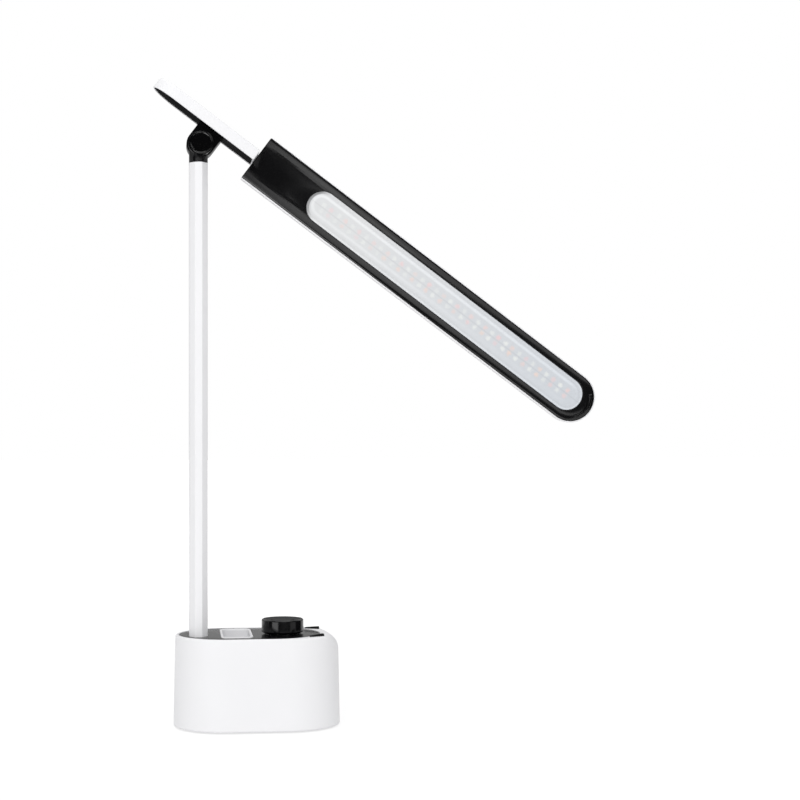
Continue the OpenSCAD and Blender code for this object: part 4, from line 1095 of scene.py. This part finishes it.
def finish_kept_nodes():
    """The hidden pieces keep their solids and get a finish each."""
    # node, finish, colour, then roughness, specular, grain, depth, worn, uneven and dust
    for name, finish, *look in (
            ("bottom_cover", "cover plastic", (0.52, 0.52, 0.53), 0.5, 0.4, 1800.0, 0.25, 0.05, 0.05, 0.1),
            ("battery_tray", "tray plastic", (0.02, 0.02, 0.022), 0.5, 0.4, 1800.0, 0.25, 0.05, 0.15),
            ("battery_cells", "cell wrap", (0.03, 0.12, 0.34), 0.3, 0.5, 900.0, 0.1, 0.0, 0.1),
            ("board_parts", "component black", (0.015, 0.015, 0.016), 0.45, 0.4, 2600.0, 0.2, 0.0, 0.2),
            ("led_board", "white lacquer", (0.78, 0.78, 0.78), 0.35, 0.5, 2400.0, 0.05, 0.0, 0.03),
            ("light_frame", "reflector white", (0.8, 0.8, 0.8), 0.4, 0.4, 2400.0, 0.1, 0.0, 0.02),
            ("friction_washers", "fibre washer", (0.32, 0.18, 0.08), 0.7, 0.3, 1200.0, 0.5, 0.0, 0.2),
            ("leds_cool", "cool phosphor", (0.9, 0.88, 0.6), 0.4, 0.4, 2400.0, 0.1, 0.0, 0.05),
            ("leds_warm", "warm phosphor", (0.95, 0.62, 0.3), 0.4, 0.4, 2400.0, 0.1, 0.0, 0.05)):
        give_finish(moulded(finish, *look), name)
    give_finish(circuit_board("board lacquer", (0.012, 0.09, 0.035)), "control_board", "charge_board")
    give_finish(rubber("dome silicone", (0.25, 0.25, 0.25), 0.5), "button_dome")
    give_finish(rubber("cable sheath", (0.03, 0.03, 0.03), 0.55), "post_lead", "arm_lead", "head_lead")
    give_finish(metal("rolled steel", (0.3, 0.3, 0.31), 0.5, (30.0, 900.0, 900.0), 0.4), "ballast_plate")
    give_finish(metal("ground steel", (0.52, 0.52, 0.53), 0.25, (3000.0, 60.0, 3000.0)),
                "hinge_pin", "roll_shaft")
    give_finish(metal("turned brass", (0.56, 0.38, 0.14), 0.3, (3000.0, 60.0, 3000.0)), "hinge_bush")
    give_finish(metal("cast aluminium", (0.5, 0.5, 0.52), 0.45, (500.0, 520.0, 480.0), 0.5),
                "post_socket", "shaft_block", "roll_socket", "heat_spreader")
    give_finish(metal("nickel plate", (0.55, 0.54, 0.5), 0.25, (400.0, 400.0, 2500.0)),
                "dimmer_unit", "dimmer_nut", "charge_inlet")
    give_finish(metal("zinc plate", (0.45, 0.46, 0.48), 0.3, (1500.0, 1500.0, 1500.0)),
                "base_screws", "board_screws", "post_screws", "yoke_screw", "lug_screws", "block_screws",
                "socket_screws", "hinge_nut", "roll_clip")


# ---------------------------------------------------------------- the studio

def glow_material(name, strength):
    """Plain glow of one strength."""
    material = bpy.data.materials.new(name)
    material.use_nodes = True
    tree = material.node_tree
    tree.nodes.clear()
    glow = add_node(tree, "Emission", {"Color": (1, 1, 1), "Strength": strength})
    add_node(tree, "OutputMaterial", {"Surface": glow.outputs[0]})
    return material


def seen_ray(tree):
    """1 for the rays of the picture and its reflections, 0 for the rays that carry soft light."""
    ray = add_node(tree, "LightPath").outputs
    shown = maths("ADD", Value(ray["Is Camera Ray"]), ray["Is Glossy Ray"], clamp=True)
    return maths("ADD", shown, ray["Is Transmission Ray"], clamp=True)


def floor_material():
    """Plain pale floor: it glows just enough to meet the backdrop without a horizon, and keeps the shadow."""
    material = glow_material("floor", 1.0)
    tree = material.node_tree
    reach = Value(add_node(tree, "VectorMath", [own_space(tree)], operation="LENGTH").outputs["Value"])
    shown = seen_ray(tree)
    glow = tree.nodes["Emission"]
    picture = reach.remap(0.35, 1.1, 0.66, 1.0, smooth=True)
    feed(shown * picture + (1.0 - shown) * 0.36, glow.inputs["Strength"])
    plain = add_node(tree, "BsdfDiffuse", {"Color": (0.42, 0.42, 0.42)})
    both = add_node(tree, "AddShader", [glow.outputs[0], plain.outputs[0]])
    # from underneath the floor is clear, so that the lamp's underside can be looked at
    clear = add_node(tree, "BsdfTransparent")
    under = from_geometry(tree, "Backfacing")
    facing = add_node(tree, "MixShader", [under, both.outputs[0], clear.outputs[0]])
    feed(facing.outputs[0], tree.nodes["Material Output"].inputs["Surface"])
    return material


def stage_sheet(name, points, faces, material):
    mesh = bpy.data.meshes.new(name)
    mesh.from_pydata(points, [], faces)
    mesh.materials.append(material)
    obj = new_object(name, mesh)
    return obj


def card(name, strength, points, faces=None):
    """A glowing sheet that only shows in reflections. Without faces it is one flat outline."""
    faces = faces or [tuple(range(len(points)))]
    sheet = stage_sheet(name, points, faces, glow_material(name, strength))
    sheet.visible_camera = False
    sheet.visible_diffuse = False
    sheet.visible_shadow = False
    sheet.visible_transmission = False


def curved_card(name, strength, first, last, *edges):
    """A card between two arcs of (radius, height) about the lamp. Its angles are counted from the front."""
    steps = 16
    points = []
    for radius, height in edges:
        for k in range(steps + 1):
            a = math.radians(first + (last - first) * k / steps)
            points.append((radius * math.sin(a), -radius * math.cos(a), height))
    card(name, strength, points, [(k, k + 1, k + steps + 2, k + steps + 1) for k in range(steps)])


def upright_card(name, strength, *outline):
    """A flat card behind the camera. outline is made of (across, up)."""
    card(name, strength, [(x, -1.75, z) for x, z in outline])


def area_lamp(name, place, target, width, height, power):
    light = bpy.data.lights.new(name, "AREA")
    light.shape = "RECTANGLE"
    light.size, light.size_y = width, height
    light.energy = power
    lamp = new_object(name, light)
    lamp.location = place
    lamp.rotation_euler = (Vector(target) - Vector(place)).to_track_quat("-Z", "Y").to_euler()
    lamp.visible_glossy = False


def make_world():
    """White where it is seen, and a softer fill for the light that it sheds."""
    world = bpy.data.worlds.new("studio")
    bpy.context.scene.world = world
    world.use_nodes = True
    tree = world.node_tree
    tree.nodes.clear()
    fill, seen = (add_node(tree, "Background", {"Color": (1, 1, 1), "Strength": strength}).outputs[0]
                  for strength in (0.68, 1.0))
    mix = add_node(tree, "MixShader", [seen_ray(tree), fill, seen])
    add_node(tree, "OutputWorld", {"Surface": mix.outputs[0]})


def make_studio():
    """Floor, world, reflection cards, lamps and camera, in metres."""
    make_world()
    low = -0.1 * MM
    corners = [(-6, -6, low), (6, -6, low), (6, 6, low), (-6, 6, low)]
    stage_sheet("floor", corners, [(0, 1, 2, 3)], floor_material())
    curved_card("dark room", 0.02, -115, 115, (1.9, 0.0), (1.9, 3.0))
    curved_card("dark ground", 0.02, -115, 115, (0.2, 0.002), (1.9, 0.002))
    curved_card("grey wall", 0.40, 118, 242, (1.9, 0.02), (1.9, 0.9))
    curved_card("left strip", 4.5, -60, -26, (0.22, 0.004), (0.85, 0.004))
    curved_card("right strip", 1.1, 40, 72, (0.22, 0.004), (0.85, 0.004))
    curved_card("near ground", 1.7, -5, 39, (0.20, 0.003), (0.40, 0.003))
    curved_card("far ground", 1.6, -30, 30, (0.95, 0.003), (1.70, 0.003))
    upright_card("upper glow", 2.4, (0.13, 0.71), (0.62, 0.77), (0.95, 0.68), (1.25, 0.75), (1.6, 1.4),
                 (0.62, 1.5))
    card("ceiling glow", 3.0, [(-1, -1, 2.4), (1, -1, 2.4), (1, 0.8, 2.4), (-1, 0.8, 2.4)])
    curved_card("side glow", 1.35, 21, 60, (1.85, 0.80), (1.85, 1.6))
    upright_card("lower glow", 1.9, (-0.42, 0.0), (-0.04, 0.47), (0.24, 0.23), (0.42, 0.06), (0.45, 0.0))
    area_lamp("key", (-0.55, -2.4, 1.2), (0.05, 0.0, 0.25), 1.6, 1.4, 26.5)
    area_lamp("top", (0.1, 0.1, 2.2), (0.05, 0.0, 0.2), 2.0, 2.0, 6.0)
    camera = bpy.data.cameras.new("camera")
    camera.lens = 86.8
    camera.sensor_width = 36.0
    eye = new_object("camera", camera)
    eye.location = (-0.0652, -1.3521, 0.2275)
    eye.rotation_euler = (math.radians(90), 0, math.radians(-7))
    bpy.context.scene.camera = eye
    bpy.context.scene.view_settings.view_transform = "Standard"


# ---------------------------------------------------------------- operators

class LAMP_OT_base_shell(Operator):
    """Build the base shell with its shoulder, recess, bosses and openings"""
    bl_idname = "desk_lamp.base_shell"
    bl_label = "Base shell"
    bl_options = {"REGISTER", "UNDO"}

    def execute(self, context):
        make_base_shell()
        return {"FINISHED"}


class LAMP_OT_base_top(Operator):
    """Build the glossy plate, the pen pocket and the two rest ridges"""
    bl_idname = "desk_lamp.base_top"
    bl_label = "Plate, pocket and ridges"
    bl_options = {"REGISTER", "UNDO"}

    def execute(self, context):
        make_top_plate()
        make_pen_cup()
        make_rest_ridges()
        return {"FINISHED"}


class LAMP_OT_rubber_pad(Operator):
    """Build the ribbed rubber pad under the base"""
    bl_idname = "desk_lamp.rubber_pad"
    bl_label = "Rubber pad"
    bl_options = {"REGISTER", "UNDO"}

    def execute(self, context):
        make_rubber_pad()
        return {"FINISHED"}


class LAMP_OT_knob(Operator):
    """Build the dimmer knob and the power button in it"""
    bl_idname = "desk_lamp.knob"
    bl_label = "Knob and button"
    bl_options = {"REGISTER", "UNDO"}

    def execute(self, context):
        make_dimmer_knob()
        make_power_button()
        return {"FINISHED"}


class LAMP_OT_post(Operator):
    """Build the eight-sided post"""
    bl_idname = "desk_lamp.post"
    bl_label = "Post"
    bl_options = {"REGISTER", "UNDO"}

    def execute(self, context):
        make_post_tube()
        return {"FINISHED"}


class LAMP_OT_hinge(Operator):
    """Build the hinge's yoke, caps and lug"""
    bl_idname = "desk_lamp.hinge"
    bl_label = "Hinge"
    bl_options = {"REGISTER", "UNDO"}

    def execute(self, context):
        make_hinge_yoke()
        make_hinge_caps()
        make_hinge_lug()
        return {"FINISHED"}


class LAMP_OT_arm(Operator):
    """Build the arm's white shell and black cover"""
    bl_idname = "desk_lamp.arm"
    bl_label = "Arm"
    bl_options = {"REGISTER", "UNDO"}

    def execute(self, context):
        make_arm_shell()
        make_arm_cover()
        return {"FINISHED"}


class LAMP_OT_head(Operator):
    """Build the light head's shell, bezel and frosted lens"""
    bl_idname = "desk_lamp.head"
    bl_label = "Light head"
    bl_options = {"REGISTER", "UNDO"}

    def execute(self, context):
        make_head_shell()
        make_head_bezel()
        make_diffuser()
        return {"FINISHED"}


class LAMP_OT_kept_nodes(Operator):
    """Finish the hidden pieces, which keep their solids"""
    bl_idname = "desk_lamp.kept_nodes"
    bl_label = "Hidden pieces"
    bl_options = {"REGISTER", "UNDO"}

    def execute(self, context):
        finish_kept_nodes()
        return {"FINISHED"}


class LAMP_OT_studio(Operator):
    """Set up the floor, light and camera"""
    bl_idname = "desk_lamp.studio"
    bl_label = "Studio"
    bl_options = {"REGISTER", "UNDO"}

    def execute(self, context):
        make_studio()
        return {"FINISHED"}


class LAMP_PT_build(Panel):
    """The lamp's pieces, in building order"""
    bl_label = "Desk lamp"
    bl_space_type = "VIEW_3D"
    bl_region_type = "UI"
    bl_category = "Desk lamp"

    def draw(self, context):
        for group in (context.scene.lamp_sizes, context.scene.lamp_colours):
            for name in group.__annotations__:
                self.layout.prop(group, name)
        for operator in OPERATORS:
            self.layout.operator(operator.bl_idname)


OPERATORS = (LAMP_OT_base_shell, LAMP_OT_base_top, LAMP_OT_rubber_pad, LAMP_OT_knob, LAMP_OT_post,
             LAMP_OT_hinge, LAMP_OT_arm, LAMP_OT_head, LAMP_OT_kept_nodes, LAMP_OT_studio)
CLASSES = (LampSizes, LampColours) + OPERATORS + (LAMP_PT_build,)


def register():
    for cls in CLASSES:
        bpy.utils.register_class(cls)
    bpy.types.Scene.lamp_sizes = PointerProperty(type=LampSizes)
    bpy.types.Scene.lamp_colours = PointerProperty(type=LampColours)


def unregister():
    del bpy.types.Scene.lamp_colours
    del bpy.types.Scene.lamp_sizes
    for cls in reversed(CLASSES):
        bpy.utils.unregister_class(cls)


def main():
    register()
    bpy.ops.desk_lamp.base_shell()
    bpy.ops.desk_lamp.base_top()
    bpy.ops.desk_lamp.rubber_pad()
    bpy.ops.desk_lamp.knob()
    bpy.ops.desk_lamp.post()
    bpy.ops.desk_lamp.hinge()
    bpy.ops.desk_lamp.arm()
    bpy.ops.desk_lamp.head()
    bpy.ops.desk_lamp.kept_nodes()
    bpy.ops.desk_lamp.studio()


if __name__ == "__main__":
    main()
